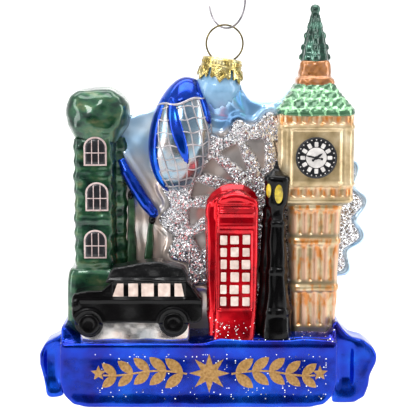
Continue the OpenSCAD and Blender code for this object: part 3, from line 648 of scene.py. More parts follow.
# %% Banner
HALF_W, HALF_D = BASE_W / 2, -FRONT
banner_outline = [(-HALF_W, 9), (-HALF_W + 1.2, 4.5), (-HALF_W + 4, 1.6), (-HALF_W + 9, 0.4), (0, 0.3),
                  (HALF_W - 9, 0.4), (HALF_W - 4, 1.6), (HALF_W - 1.2, 4.5), (HALF_W, 9), (HALF_W, BASE_H),
                  (-HALF_W, BASE_H)]
end_left = [(-HALF_W, BASE_H - 3), (-HALF_W + 7, BASE_H - 3), (-HALF_W + 4.5, BASE_H + 1.5),
            (-HALF_W + 1.6, BASE_H + 4.5),
            (-HALF_W + 0.2, BASE_H + 4)]
end_right = [(HALF_W - 5, BASE_H - 3), (HALF_W, BASE_H - 3), (HALF_W - 0.2, BASE_H + 4),
             (HALF_W - 1.6, BASE_H + 3)]


def banner_relief(p, out):
    top = facing(out, z=1)
    slope = -1.5 * ramp(-p[:, 1], HALF_D - 7.5, HALF_D - 0.5) * top
    front = facing(out, y=-1)
    hollow = -0.45 * inside(p[:, 2], 5, 17, 4) * front
    lip = 0.25 * inside(p[:, 2], BASE_H - 3.4, BASE_H - 1.8, 1.2) * front
    return slope + hollow + lip + 0.18 * wander(p, 7.0, 1.0)


foot_mound = [(2, BASE_H - 4), (HALF_W - 1, BASE_H - 4), (HALF_W - 1.5, BASE_H + 1.4), (34, BASE_H + 1.9),
              (25, BASE_H + 1.2), (6, BASE_H + 1.9), (3, BASE_H + 0.8)]
banner = moulded("banner", [prism(banner_outline, -HALF_D + 0.6, HALF_D - 0.6),
                            prism(foot_mound, -HALF_D + 1.6, -HALF_D + 8),
                            prism(end_left, -HALF_D + 4, HALF_D - 8),
                            prism(end_right, -HALF_D + 4, HALF_D - 8)],
                 0.7, 14, banner_relief)
place(banner, "glass", "banner_lacquer", banner_blue, "banner")

# %% [markdown]
# The two tails are the same ribbon, folded behind the banner and out to the sides.

# %% Banner tails
left_tail_outline = [(-43.6, 25.5), (-45.9, 23.0), (-50.3, 20.6), (-52.6, 17.0), (-52.6, 13.2),
                     (-50.9, 7.6), (-50.2, 2.9), (-48.9, 1.9), (-44.5, 2.6)]
right_tail_outline = [(43.8, 27.5), (45.6, 28.2), (47.3, 25.6), (50.2, 22.6), (54.2, 21.6), (57.6, 19.0),
                      (59.0, 16.3),
                      (58.6, 13.6), (56.6, 9.7), (56.2, 6.3), (54.9, 2.3), (51.6, 0.4), (44.0, 0.2)]


def tail_relief(side):
    def relief(p, out):
        away = p[:, 0] * side - HALF_W
        fold = (-1.3 * inside(away, 2.0, 4.5, 2.2) * facing(out, y=-1)
                * ramp(p[:, 2], 3, 9) * (1 - ramp(p[:, 2], 17, 22)))
        return fold + 0.25 * wander(p, 5.0, 2.0 + side)
    return relief


for side, outline in ((-1, left_tail_outline), (1, right_tail_outline)):
    name = "banner_tail_left" if side < 0 else "banner_tail_right"
    low, high = street_box(name)
    made = moulded(name, [prism(outline, low[1] + 0.5, high[1] - 0.5)], 0.6, 14, tail_relief(side))
    place(made, "glass", "banner_lacquer", banner_blue, name)

# %% [markdown]
# The real banner carries a printed name. A generic scroll takes its place: a star between two sprays of
# leaves.

# %% Gold scroll
scroll_low, scroll_high = street_box("banner_scroll")
SCROLL_Z = (scroll_low[2] + scroll_high[2]) / 2 + 1.5


def star(x, z, r, points=8):
    out = []
    for k in range(points * 2):
        radius = r if k % 2 == 0 else r * 0.45
        a = math.pi / 2 + k * math.pi / points
        out.append((x + radius * math.cos(a), z + radius * math.sin(a)))
    return out


def leaf(x, z, length, width, angle, n=9):
    side_a = [(t, math.sin(math.pi * t) ** 0.8 * width / 2) for t in np.linspace(0, 1, n)]
    side_b = [(t, -w) for t, w in side_a[-2:0:-1]]
    c, s = math.cos(angle), math.sin(angle)
    return [(x + length * t * c - w * s, z + length * t * s + w * c) for t, w in side_a + side_b]


banner_face = face_of(banner)
SCROLL_X = 3.5
scroll_parts = [laid(star(SCROLL_X, SCROLL_Z, 6.6), banner_face),
                laid(disc(SCROLL_X, SCROLL_Z, 1.6), banner_face, 0.3)]
for side in (-1, 1):
    for k in range(5):
        x = SCROLL_X + side * (8.5 + k * 5.4)
        z = SCROLL_Z + 0.8 * math.sin(k * 1.1)
        aim = 0 if side > 0 else math.pi
        for bend in (0.7, -0.7):
            scroll_parts.append(laid(leaf(x, z, 7.6 - 0.35 * k, 3.5 - 0.15 * k, aim + bend * side),
                                     banner_face))
    stem = []
    for t in np.linspace(7.2, 34.5, 26):
        x, z = SCROLL_X + side * t, SCROLL_Z + 0.8 * math.sin((t - 8.5) / 5.4 * 1.1)
        stem.append((x, banner_face(x, z), z))
    scroll_parts.append(tube(stem, 0.36, 6))
    scroll_parts.append(laid(star(SCROLL_X + side * 36.0, SCROLL_Z, 2.6, 5), banner_face))
scroll = flat_piece("banner_scroll", scroll_parts)
place(scroll, "glass", "gold_print", gold_leaf, "banner_scroll")

# %% [markdown]
# ## The clock tower
# A square column in four moulded storeys. The shaft is fluted in three stages between string courses, the
# clock storey overhangs it, and roof, lantern and spire stand on top.

# %% The clock tower's measures
belfry_low, belfry_high = street_box("clock_belfry")
dial_low, dial_high = street_box("clock_dial")
CLOCK_X, BELFRY_HALF = (belfry_low[0] + belfry_high[0]) / 2, (belfry_high[0] - belfry_low[0]) / 2
SHAFT_TOP, BELFRY_TOP, BELFRY_DEEP = belfry_low[2], belfry_high[2], belfry_high[1]
SHAFT_HALF_D = street_box("clock_shaft")[1][1]
DIAL_Z, DIAL_R = (dial_low[2] + dial_high[2]) / 2, (dial_high[2] - dial_low[2]) / 2
STAGES = [(BASE_H + 2.5, 37.5), (40.5, 53.0), (56.0, 64.5)]
FLUTE_PITCH = 3.44
print("clock tower x", round(CLOCK_X, 1), "dial radius", round(DIAL_R, 1))

# %% [markdown]
# The clock tower's stone is a pale gold lacquer over silver. Its flutes are brushed pink, orange runs into
# the hollows between them and along the string courses, and dull olive bands of painted shade lie along
# the ledges and round the tower's foot.
# The brush follows the tower's levels, so the colour comes from height and from place across the face,
# broken up by noise.

# %% Finish: brushed stone lacquer, with painted shade by the ledges
def band_mask(tree, height, bands, soft=0.5):
    """1 inside any of the levels given in street mm, 0 outside."""
    mask = None
    for low, high in bands:
        middle, half = (low + high) / 2 * MM + STREET[2], (high - low) / 2 * MM
        away = add(tree, "Math", {1: middle}, {0: height}, operation="SUBTRACT")
        away = add(tree, "Math", links={0: away.outputs[0]}, operation="ABSOLUTE")
        near = add(tree, "MapRange", {"From Min": half - soft * MM, "From Max": half + soft * MM,
                                      "To Min": 1.0,
                                      "To Max": 0.0}, {"Value": away.outputs[0]}).outputs["Result"]
        mask = near if mask is None else add(tree, "Math", links={0: mask, 1: near},
                                             operation="MAXIMUM").outputs[0]
    return mask


def stone_lacquer(name, centre_x, flutes, pitch, orange, painted_shade_bands, pink=0.8):
    made, tree, where = new_material(name)
    film = add(tree, "TexNoise", {"W": 11.0, "Scale": per_mm(5), "Detail": 3.0}, {"Vector": where},
               noise_dimensions="4D")
    stone = add(tree, "ValToRGB", links={"Fac": film.outputs["Fac"]},
                stops=[(0.28, "#8E7A50"), (0.44, "#BDA478"), (0.6, "#D8C096"), (0.78, "#EDE0BE")])
    streak_at = add(tree, "Mapping", {"Scale": (1.0, 1.0, 0.35)}, {"Vector": where})
    brush = add(tree, "TexNoise", {"W": 14.0, "Scale": per_mm(1.6), "Detail": 3.0},
                {"Vector": streak_at.outputs["Vector"]}, noise_dimensions="4D")
    part = add(tree, "SeparateXYZ", links={"Vector": where})
    across = add(tree, "Math", {1: STREET[0] + centre_x * MM}, {0: part.outputs["X"]}, operation="SUBTRACT")
    phase = add(tree, "Math", {1: 2 * math.pi / (pitch * MM)}, {0: across.outputs[0]}, operation="MULTIPLY")
    wave = add(tree, "Math", links={0: phase.outputs[0]}, operation="COSINE")
    crest = add(tree, "MapRange", {"From Min": -0.3, "From Max": 0.6}, {"Value": wave.outputs[0]})
    hollow = add(tree, "MapRange", {"From Min": 0.0, "From Max": -0.9}, {"Value": wave.outputs[0]})
    patch = add(tree, "MapRange", {"From Min": 0.44, "From Max": 0.6}, {"Value": brush.outputs["Fac"]})
    panel_mask = band_mask(tree, part.outputs["Z"], flutes, 0.8)
    pink_amount = add(tree, "Math", links={0: panel_mask, 1: crest.outputs["Result"]}, operation="MULTIPLY")
    pink_amount = add(tree, "Math", {1: pink}, {0: pink_amount.outputs[0]}, operation="MULTIPLY")
    with_pink = add(tree, "MixRGB", {"Color2": colour("#DDA98C")},
                    {"Fac": pink_amount.outputs[0], "Color1": stone.outputs["Color"]})
    run = add(tree, "Math", links={0: panel_mask, 1: hollow.outputs["Result"]}, operation="MULTIPLY")
    bands = band_mask(tree, part.outputs["Z"], orange, 0.7)
    run = add(tree, "Math", links={0: run.outputs[0], 1: bands}, operation="MAXIMUM")
    run = add(tree, "Math", links={0: run.outputs[0], 1: patch.outputs["Result"]}, operation="MULTIPLY")
    with_orange = add(tree, "MixRGB", {"Color2": colour("#CF7E30")},
                      {"Fac": run.outputs[0], "Color1": with_pink.outputs["Color"]})
    # painted shade: a dull olive band at each level given, mixed in at three quarters
    shade = band_mask(tree, part.outputs["Z"], painted_shade_bands, 0.6)
    shade = add(tree, "Math", {1: 0.75}, {0: shade}, operation="MULTIPLY")
    tint = add(tree, "MixRGB", {"Color2": colour("#7B765C")},
               {"Fac": shade.outputs[0], "Color1": with_orange.outputs["Color"]})
    bump = add(tree, "Bump", {"Strength": 0.35, "Distance": 0.25 * MM}, {"Height": brush.outputs["Fac"]})
    shader = add(tree, "BsdfPrincipled", {"Metallic": 0.5, "Roughness": 0.3, "Coat Weight": 0.7,
                                          "Coat Roughness": 0.1},
                 {"Base Color": tint.outputs["Color"], "Normal": bump.outputs["Normal"]})
    add(tree, "OutputMaterial", links={"Surface": shader.outputs["BSDF"]})
    return made


print("the brush follows flutes", FLUTE_PITCH, "mm apart")

# %% [markdown]
# The flutes are a cosine across each face, so they meet at the corners whatever the width. Each stage has
# its own, and a string course stands out above it.

# %% Clock tower shaft
def around(p, x, half_w, half_d):
    """Distance across a tower's face from its middle, on whichever face a point lies."""
    return np.where(np.abs(p[:, 0] - x) * half_d > np.abs(p[:, 1]) * half_w, p[:, 1], p[:, 0] - x)


def shaft_relief(p, out):
    across = around(p, CLOCK_X, 8.5, SHAFT_HALF_D)
    wall_side = 1 - np.abs(out[:, 2])
    move = np.zeros(len(p))
    for low, high in STAGES:
        flute = np.cos(across / (FLUTE_PITCH / 2) * math.pi) * 0.5 + 0.5
        move -= (0.62 * (1 - flute) * inside(p[:, 2], low + 1.0, high - 1.0, 1.0)
                 * inside(np.abs(across), 0, 6.4, 0.8))
        move += 0.45 * inside(p[:, 2], high + 0.4, high + 1.6, 0.6)
    return move * wall_side + 0.14 * wander(p, 4.0, 3.0)


shaft_profile = [(BASE_H - 2, 15.4, 18.4), (BASE_H + 1, 14.6, 18.0), (38, 15.6, 19.0), (54, 16.8, 19.8),
                 (SHAFT_TOP - 1, 17.6, 20.6), (SHAFT_TOP + 1, 17.6, 20.6)]
clock_shaft = moulded("clock_shaft", [column(CLOCK_X, 0, shaft_profile, 7)], 0.42, 4, shaft_relief)
# the last list of bands is painted shade: above the two lower string courses and at the tower's foot
shaft_stone = stone_lacquer("brushed_gold_lacquer_on_silvered_glass", CLOCK_X, STAGES, FLUTE_PITCH,
                            [(high - 0.2, high + 2.4) for low, high in STAGES]
                            + [(low + 7, high) for low, high in STAGES],
                            [(high + 2.4, high + 3.6) for low, high in STAGES[:2]] + [(23, 25.5)])
place(clock_shaft, "glass", "stone_lacquer", shaft_stone, "clock_shaft")

# %% [markdown]
# The clock storey overhangs the shaft on a ledge. Its panel is sunk round the dial, with a row of small
# arches above it and below it.

# %% Clock storey
def belfry_relief(p, out):
    across = around(p, CLOCK_X, BELFRY_HALF, BELFRY_DEEP)
    wall_side = 1 - np.abs(out[:, 2])
    z = p[:, 2]
    panel_w, panel_h = 8.4, 8.7
    recess = (inside(np.abs(across), 0, panel_w - 0.8, 0.8)
              * inside(z, DIAL_Z - panel_h, DIAL_Z + panel_h, 0.8))
    frame_line = inside(np.abs(across), panel_w - 0.2, panel_w + 0.8, 0.5) * inside(z, DIAL_Z - panel_h,
                                                                                    DIAL_Z + panel_h, 0.8)
    arches = np.cos(across / 1.6 * math.pi) * 0.5 + 0.5
    top_row = inside(z, BELFRY_TOP - 3.6, BELFRY_TOP - 1.4, 0.5) * inside(np.abs(across), 0, 10.6, 0.8)
    low_row = inside(z, SHAFT_TOP + 2.6, SHAFT_TOP + 5.0, 0.5) * inside(np.abs(across), 0, 10.6, 0.8)
    ledge = (inside(z, BELFRY_TOP - 5.6, BELFRY_TOP - 4.6, 0.5)
             + inside(z, SHAFT_TOP + 0.3, SHAFT_TOP + 1.6, 0.4))
    ledge = ledge + inside(z, SHAFT_TOP + 5.8, SHAFT_TOP + 6.6, 0.4)
    move = -0.75 * recess + 0.25 * frame_line - 0.5 * (1 - arches) * (top_row + low_row) + 0.4 * ledge
    return move * wall_side + 0.12 * wander(p, 5.0, 4.0)


belfry_profile = [(SHAFT_TOP - 1.0, 18.0, 20.6), (SHAFT_TOP + 0.4, 23.6, 23.0),
                  (SHAFT_TOP + 1.2, 24.6, 23.0),
                  (DIAL_Z, 24.6, 23.0), (BELFRY_TOP - 1.0, 24.8, 23.0), (BELFRY_TOP + 0.2, 24.0, 22.4)]
clock_belfry = moulded("clock_belfry", [column(CLOCK_X, 0, belfry_profile, 9)], 0.42, 4, belfry_relief)
# the last list of bands is painted shade under the clock storey's overhang
belfry_stone = stone_lacquer("brushed_gold_lacquer_on_clock_storey", CLOCK_X,
                             [(SHAFT_TOP + 2.2, SHAFT_TOP + 5.6), (BELFRY_TOP - 4.4, BELFRY_TOP - 1.0)],
                             3.2,
                             [(SHAFT_TOP + 2.6, SHAFT_TOP + 5.2), (BELFRY_TOP - 3.8, BELFRY_TOP - 1.4)],
                             [(SHAFT_TOP - 0.6, SHAFT_TOP + 0.4)], 0.5)
place(clock_belfry, "glass", "stone_lacquer", belfry_stone, "clock_belfry")

# %% [markdown]
# Above the clock the same loft gets narrower three times: a steep roof with curled eaves, a lantern storey
# and a spire with a ball. Moulded scales, dents and knobs catch the lacquer on them.

# %% Roof, lantern storey and spire
ROOF_TOP = street_box("clock_roof")[1][2]
TURRET_TOP = street_box("clock_turret")[1][2]
SPIRE_TOP = street_box("clock_spire")[1][2]


def roof_relief(p, out):
    across = around(p, CLOCK_X, 10, 10)
    scales = np.sin(across * 2.4) * np.sin(p[:, 2] * 2.6)
    return 0.22 * scales * ramp(out[:, 2], 0.1, 0.4) + 0.15 * wander(p, 4.0, 5.0)


roof_profile = [(BELFRY_TOP - 1.6, 25.4, 23.6), (BELFRY_TOP - 0.6, 26.0, 24.2),
                (BELFRY_TOP + 0.4, 25.2, 23.4),
                (BELFRY_TOP + 1.4, 23.4, 21.8), ((BELFRY_TOP + ROOF_TOP) / 2, 19.0, 17.8),
                (ROOF_TOP - 1.2, 14.4, 13.6), (ROOF_TOP + 0.2, 12.6, 12.0), (ROOF_TOP + 0.8, 11.0, 10.6)]
clock_roof = moulded("clock_roof", [column(CLOCK_X, 0, roof_profile, 6)], 0.45, 5, roof_relief)
place(clock_roof, "glass", "roof_lacquer", roof_dabs, "clock_roof")

turret_profile = [(ROOF_TOP - 0.6, 12.6, 12.4), (ROOF_TOP + 0.6, 13.3, 12.8), (ROOF_TOP + 1.8, 12.6, 12.2),
                  (ROOF_TOP + 2.7, 10.4, 10.2), (ROOF_TOP + 3.6, 10.8, 10.6),
                  (TURRET_TOP - 0.8, 10.2, 10.2), (TURRET_TOP + 0.3, 9.4, 9.4)]
clock_turret = moulded("clock_turret", [column(CLOCK_X, 0, turret_profile, 3.4)], 0.3, 4,
                       uneven((0.16, 1.6, 6.0), (0.1, 0.9, 6.5)))
place(clock_turret, "glass", "terracotta_lacquer", terracotta, "clock_turret")


def spire_relief(p, out):
    """Tiers of small crockets round the spire, eight to a tier, and ribs between them."""
    turn = np.arctan2(p[:, 1], p[:, 0] - CLOCK_X)
    z = p[:, 2] - TURRET_TOP
    knob = np.maximum(0, np.cos(4 * turn)) ** 2
    tiers = sum(inside(z, at - 0.5, at + 0.5, 0.7) * size for at,
                size in ((1.4, 0.35), (4.6, 0.45), (8.4, 0.35), (11.6, 0.2)))
    ribs = 0.22 * np.cos(8 * turn) * inside(z, 1, 14.5, 1)
    return tiers * (0.25 + knob) + ribs + 0.06 * wander(p, 1.2, 7.0)


spire_profile = [(TURRET_TOP - 0.2, 9.2, 9.2), (TURRET_TOP + 1.4, 9.2, 9.2), (TURRET_TOP + 3.0, 8.2, 8.2),
                 (TURRET_TOP + 4.6, 7.8, 7.8), (TURRET_TOP + 6.4, 6.6, 6.6), (TURRET_TOP + 8.6, 6.0, 6.0),
                 (TURRET_TOP + 10.4, 4.7, 4.7), (TURRET_TOP + 12.4, 3.9, 3.9),
                 (TURRET_TOP + 14.4, 2.9, 2.9), (TURRET_TOP + 15.6, 2.7, 2.7)]
clock_spire = moulded("clock_spire", [column(CLOCK_X, 0, spire_profile, 2.2),
                                      ball(CLOCK_X, 0, SPIRE_TOP - 1.75, 1.75, 1.75, 1.75)], 0.24, 3,
                      spire_relief)
place(clock_spire, "glass", "spire_lacquer", spire_green, "clock_spire")

# %% [markdown]
# The dial is a printed decal: a black ring with a pale dot at every minute pair, twelve plain pale marks, a
# pale centre, and two hands with round tails.

# %% Clock dial
DIAL_Y = -BELFRY_DEEP + 0.95


def ring_plate(x, z, r_out, r_in, y_front, thick, n=64):
    """A flat ring with real thickness."""
    points, faces = [], []
    for r, y in ((r_out, y_front), (r_in, y_front), (r_in, y_front + thick), (r_out, y_front + thick)):
        for k in range(n):
            a = k * 2 * math.pi / n
            points.append((x + r * math.cos(a), y, z + r * math.sin(a)))
    for band in range(4):
        nxt = (band + 1) % 4
        for k in range(n):
            faces.append((band * n + k, band * n + (k + 1) % n, nxt * n + (k + 1) % n, nxt * n + k))
    return np.array(points), faces


def on_dial(outline, proud):
    """A print on the dial's plane, proud of it by so many mm."""
    return laid(outline, lambda x, z: DIAL_Y, proud, 0.2)


dial = flat_piece("clock_dial", [on_dial(disc(CLOCK_X, DIAL_Z, DIAL_R, 72), 0.02),
                                 ring_plate(CLOCK_X, DIAL_Z, DIAL_R, DIAL_R - 0.5, DIAL_Y - 0.15, 0.4)])
place(dial, "glass", "black_print", print_black, "clock_dial")
marks = []
for hour in range(12):
    a = math.radians(hour * 30)
    x, z = CLOCK_X + 4.35 * math.sin(a), DIAL_Z + 4.35 * math.cos(a)
    block = np.array(rounded_box(-0.62, 0.62, -0.8, 0.8, 0.3))
    turned = [(x + u * math.cos(a) + v * math.sin(a), z - u * math.sin(a) + v * math.cos(a)) for u,
              v in block]
    marks.append(on_dial(turned, 0.12))
for minute in range(24):
    a = math.radians(minute * 15)
    marks.append(on_dial(disc(CLOCK_X + 5.85 * math.sin(a), DIAL_Z + 5.85 * math.cos(a), 0.22, 8), 0.1))
marks.append(on_dial(disc(CLOCK_X, DIAL_Z, 3.35, 48), 0.16))
numerals = flat_piece("clock_numerals", marks)
place(numerals, "glass", "ivory_print", print_ivory, "clock_numerals")


def hand(angle, length, tail, width):
    a = math.radians(angle)
    outline = [(-width / 2, -tail), (width / 2, -tail), (width * 0.7, length * 0.55), (0, length),
               (-width * 0.7, length * 0.55)]
    return [(CLOCK_X + u * math.cos(a) + v * math.sin(a), DIAL_Z - u * math.sin(a) + v * math.cos(a)) for u,
            v in outline]


hand_parts = [on_dial(disc(CLOCK_X, DIAL_Z, 0.6, 20), 0.4)]
for degrees, length, tail, width, knob, lift in ((54, 2.6, 1.3, 0.55, 0.45, 0.3),
                                                 (-78, 4.2, 1.8, 0.4, 0.42, 0.36)):
    a = math.radians(degrees)
    hand_parts.append(on_dial(hand(degrees, length, tail, width), lift))
    hand_parts.append(on_dial(disc(CLOCK_X - tail * math.sin(a), DIAL_Z - tail * math.cos(a), knob, 16),
                              lift - 0.02))
hands = flat_piece("clock_hands", hand_parts)
place(hands, "glass", "black_print", print_black, "clock_hands")

# %% [markdown]
# ## The phone box
# A tall red box with a shallow curved crown, a slot under it for the sign, and a door of small panes.

# %% Phone box
BOX_LOW, BOX_HIGH = street_box("phone_box")
BOX_TOP = street_box("phone_box_crown")[1][2]
BOX_X = (BOX_LOW[0] + BOX_HIGH[0]) / 2
BOX_Y = (BOX_LOW[1] + BOX_HIGH[1]) / 2
PANE_X = BOX_X + 1.2
PANE_LOW, PANE_HIGH = 33.6, 57.8
PANE_HALF = 5.3


def crown_arc(x):
    """Height of the bright arc over the box's front, in street mm."""
    return 70.9 - ((x - PANE_X) / 7.0) ** 2 * 2.3


def box_relief(p, out):
    front = facing(out, y=-1)
    x, z = p[:, 0] - PANE_X, p[:, 2]
    over = z - crown_arc(p[:, 0])
    door = inside(x, -PANE_HALF, PANE_HALF, 0.5) * inside(z, PANE_LOW - 0.4, PANE_HIGH + 0.4, 0.5)
    sign = inside(x, -5.4, 5.4, 0.6) * inside(z, 66.3, 67.2, 0.45)
    sill = inside(x, -5.6, 5.6, 0.8) * inside(z, 64.0, 64.9, 0.5)
    arc = inside(over, -1.5, -0.5, 0.6) * inside(x, -6.9, 6.9, 0.8)
    lintel = inside(z, 60.2, 60.8, 0.5) * inside(x, -5.8, 5.8, 0.6)
    side_panel = facing(out, x=-1) * inside(p[:, 1], BOX_Y - 3.4, BOX_Y + 3.4, 0.6) * inside(z, 32, 62, 0.7)
    slope_back = -1.5 * ramp(over, -0.2, 1.2) * (p[:, 1] < BOX_Y)
    move = -0.75 * door - 0.7 * sign + 0.5 * sill + 0.55 * arc + 0.2 * lintel
    return move * front + slope_back - 0.5 * side_panel + 0.2 * wander(p, 5.0, 8.0)


def box_ring(z, left, right, y0, y1):
    return squircle((left + right) / 2, (y0 + y1) / 2, z, right - left, y1 - y0, 7)


BOX_FRONT, BOX_BACK = BOX_LOW[1], BOX_HIGH[1]
front_rows = [(BASE_H - 1.5, 4.6, 18.0), (31, 5.2, 18.8), (50, 5.5, 19.2), (65, 5.6, 19.5),
              (68.0, 5.9, 19.2), (70.2, 7.2, 17.8), (71.8, 9.0, 15.8), (BOX_TOP - 0.4, 11.0, 13.8)]
back_rows = [(BASE_H - 1.5, 3.2, 17.4), (27, 3.2, 17.6), (31, 2.6, 18.6), (52, 2.3, 19.2), (65, 2.2, 19.6),
             (68.2, 2.8, 19.4), (70.6, 4.6, 18.2), (72.2, 7.0, 16.4), (BOX_TOP + 0.2, 9.8, 14.4)]
phone_box = moulded("phone_box", [loft([box_ring(z, l, r, BOX_FRONT, BOX_BACK - 2) for z, l,
                                        r in front_rows]),
                                  loft([box_ring(z, l, r, BOX_FRONT + 3, BOX_BACK) for z, l,
                                        r in back_rows])],
                    0.36, 6, box_relief)
place(phone_box, "glass", "red_lacquer", phone_red, "phone_box", "phone_box_crown")

# %% [markdown]
# The panes are painted one by one, so each is a little off its place and size. The draw is seeded.

# %% The phone box's panes
box_face = face_of(phone_box)
panes = []
columns = [(-4.6, -2.7), (-1.5, 1.1), (2.3, 4.8)]
pitch = (PANE_HIGH - PANE_LOW) / 6
shake = np.random.default_rng(3)
for x0, x1 in columns:
    for row in range(6):
        z0 = PANE_LOW + row * pitch + 0.5
        a, b, c, d = shake.uniform(-0.18, 0.18, 4)
        panes.append(laid(rounded_box(PANE_X + x0 + a, PANE_X + x1 + b, z0 + c, z0 + pitch - 1.05 + d, 0.3),
                          box_face, 0.14))
box_panes = flat_piece("phone_box_panes", panes)
place(box_panes, "glass", "pane_enamel", pane_pink, "phone_box_panes")

# %% [markdown]
# ## The lamp post
# A four-sided post on a flared foot with a lantern under a pointed cap, all gloss black but for its amber
# panes.

# %% Lamp post
LAMP_LOW, LAMP_HIGH = street_box("lamp_post")
LAMP_X = (LAMP_LOW[0] + LAMP_HIGH[0]) / 2
LAMP_Y = LAMP_LOW[1] + (LAMP_HIGH[0] - LAMP_LOW[0]) / 2
lamp_profile = [(BASE_H - 0.8, 10.4, 9.6), (25.5, 10.6, 9.8), (29, 9.6, 9.0), (33, 8.6, 8.2),
                (38, 7.6, 7.4),
                (45, 6.8, 6.8), (52, 6.2, 6.4), (58, 6.0, 6.2), (61.5, 5.8, 6.0), (63.5, 4.7, 5.0),
                (65.6, 5.4, 5.4),
                (66.8, 6.9, 6.6), (73.2, 8.2, 8.0), (75.0, 8.8, 8.6), (76.0, 8.4, 8.2), (77.0, 5.6, 5.6),
                (78.2, 2.6, 2.6), (79.4, 1.5, 1.5), (LAMP_HIGH[2], 0.9, 0.9)]


def lamp_relief(p, out):
    z = p[:, 2]
    bead = 0.35 * (inside(z, 60.4, 61.4, 0.5) + inside(z, 44.6, 45.8, 0.6) + inside(z, 31.0, 32.4, 0.7))
    pane = (inside(np.hypot((p[:, 0] - LAMP_X - 0.4) / 1.5, (z - 70.5) / 3.2), 0, 1.0, 0.25)
            * facing(out, y=-1))
    flutes = 0.22 * np.cos(np.arctan2(p[:, 1] - LAMP_Y, p[:, 0] - LAMP_X) * 6) * inside(z, 32, 60, 3)
    return bead - 0.4 * pane + flutes + 0.3 * wander(p, 3.2, 9.0)


lamp_side = [(BASE_H - 0.8, 8.6, 7.0), (30, 9.0, 7.0), (36, 7.6, 6.4), (42, 6.4, 6.0), (58, 5.4, 5.6),
             (66, 4.4, 4.6)]
lamp_post = moulded("lamp_post", [column(LAMP_X, LAMP_Y, lamp_profile, 3.0),
                                  column(LAMP_X - 2.0, LAMP_Y + 0.8, lamp_side, 3.0)],
                    0.38, 4, lamp_relief)
place(lamp_post, "glass", "black_lacquer", black_gloss, "lamp_post")
lamp_face = face_of(lamp_post)
lamp_panes = flat_piece("lamp_panes", [
    laid(disc(0, 0, 1.0, 28) @ np.diag([1.35, 3.1]) + (LAMP_X + 0.5, 70.5), lamp_face, 0.15),
    laid(disc(0, 0, 1.0, 28) @ np.diag([0.75, 2.3]) + (LAMP_X - 2.75, 71.6), lamp_face, 0.15)])
place(lamp_panes, "glass", "amber_enamel", pane_amber, "lamp_panes")

# %% [markdown]
# ## The taxi
# A black saloon in half relief, with luggage under a sheet on its roof and a silvered strip of road between
# its wheels.

# %% Taxi body
TAXI_LOW, TAXI_HIGH = street_box("taxi_body")
TAXI_Y0, TAXI_Y1 = TAXI_LOW[1], TAXI_HIGH[1] + 1.0
taxi_outline = [(-41.0, 31.0), (-41.1, 36.4), (-40.2, 38.2), (-35.8, 39.1), (-31.0, 39.2), (-29.6, 40.6),
                (-27.6, 42.2),
                (-19.0, 42.7), (-3.9, 42.4), (-2.4, 41.0), (-0.8, 38.3), (1.2, 36.0), (1.3, 30.0),
                (0.0, 28.6), (-39.4, 28.2)]
WHEELS = [(-35.6, 28.1, 3.4), (-8.1, 28.4, 3.6)]


def taxi_relief(p, out):
    front = facing(out, y=-1)
    x, z = p[:, 0], p[:, 2]
    glass_band = inside(z, 37.2, 41.4, 0.5) * inside(x, -27.4, -4.8, 0.7)
    belt = inside(z, 35.8, 36.4, 0.4) * inside(x, -40, 0.5, 0.8)
    fender = 0
    for wx, wz, r in WHEELS:
        away = np.hypot(x - wx, z - wz)
        fender = fender + 0.35 * inside(away, r + 1.0, r + 1.5, 0.5) * (z > wz)
    lamp = 0.5 * inside(np.hypot(x + 39.8, z - 34.6), 0, 1.0, 0.6)
    return (-0.4 * glass_band + 0.2 * belt + fender + lamp) * front + 0.16 * wander(p, 4.0, 10.0)


wheel_solids = []
for wx, wz, r in WHEELS:
    wheel_solids.append(prism(disc(wx, wz, r + 1.3, 40), TAXI_Y0 + 1.3, TAXI_Y1))
taxi_body = moulded("taxi_body", [prism(taxi_outline, TAXI_Y0 + 0.3, TAXI_Y1)] + wheel_solids, 0.4, 5,
                    taxi_relief)
place(taxi_body, "glass", "black_lacquer", black_gloss, "taxi_body", "taxi_bumper")

# %% [markdown]
# Wheels, luggage and road are blown with the body. The windows are enamel, laid on in five panes.

# %% Taxi wheels, luggage, windows and road
def wheel_relief(p, out):
    dish = sum(inside(np.hypot(p[:, 0] - wx, p[:, 2] - wz), 0, r * 0.45, 0.5) for wx, wz, r in WHEELS)
    return -0.12 * dish * facing(out, y=-1) + 0.08 * wander(p, 2.0, 10.5)


wheels = moulded("taxi_wheels",
                 [prism(disc(wx, wz, r, 44), TAXI_Y0 - 0.35, TAXI_Y1 - 0.5) for wx, wz, r in WHEELS],
                 0.3, 4, wheel_relief)
place(wheels, "glass", "black_lacquer", black_gloss, "taxi_wheels")

luggage_outline = [(-30.4, 41.2), (-29.0, 44.4), (-27.4, 46.4), (-24.0, 47.0), (-19.0, 48.0), (-12.6, 48.4),
                   (-9.4, 47.4), (-4.8, 46.2), (-3.4, 43.6), (-3.6, 41.4)]
luggage = moulded("taxi_luggage", [prism(luggage_outline, TAXI_Y0 + 2.0, TAXI_Y1)], 0.45, 8,
                  lambda p, out: 0.18 * wander(p, 2.4, 11.0) + 0.15 * wander(p, 4.4, 12.0)
                  + 0.55 * inside(p[:, 2], 41.6, 42.5, 0.6) * facing(out, y=-1))
place(luggage, "glass", "black_lacquer", luggage_grey, "taxi_luggage")

SILL, HEAD = 37.3, 41.6
window_rows = [(-27.7, -24.2, -24.2, -26.2), (-22.6, -19.5, -19.5, -22.6), (-18.4, -14.4, -14.4, -18.4),
               (-13.0, -9.1, -9.1, -13.0), (-7.7, -4.6, -5.5, -7.7)]
window_edges = [list(zip(xs, (SILL, SILL, HEAD, HEAD))) for xs in window_rows]
taxi_face = face_of(taxi_body)
taxi_windows = flat_piece("taxi_windows", [laid(w, taxi_face, 0.15) for w in window_edges])
place(taxi_windows, "glass", "pane_enamel", pane_pink, "taxi_windows")

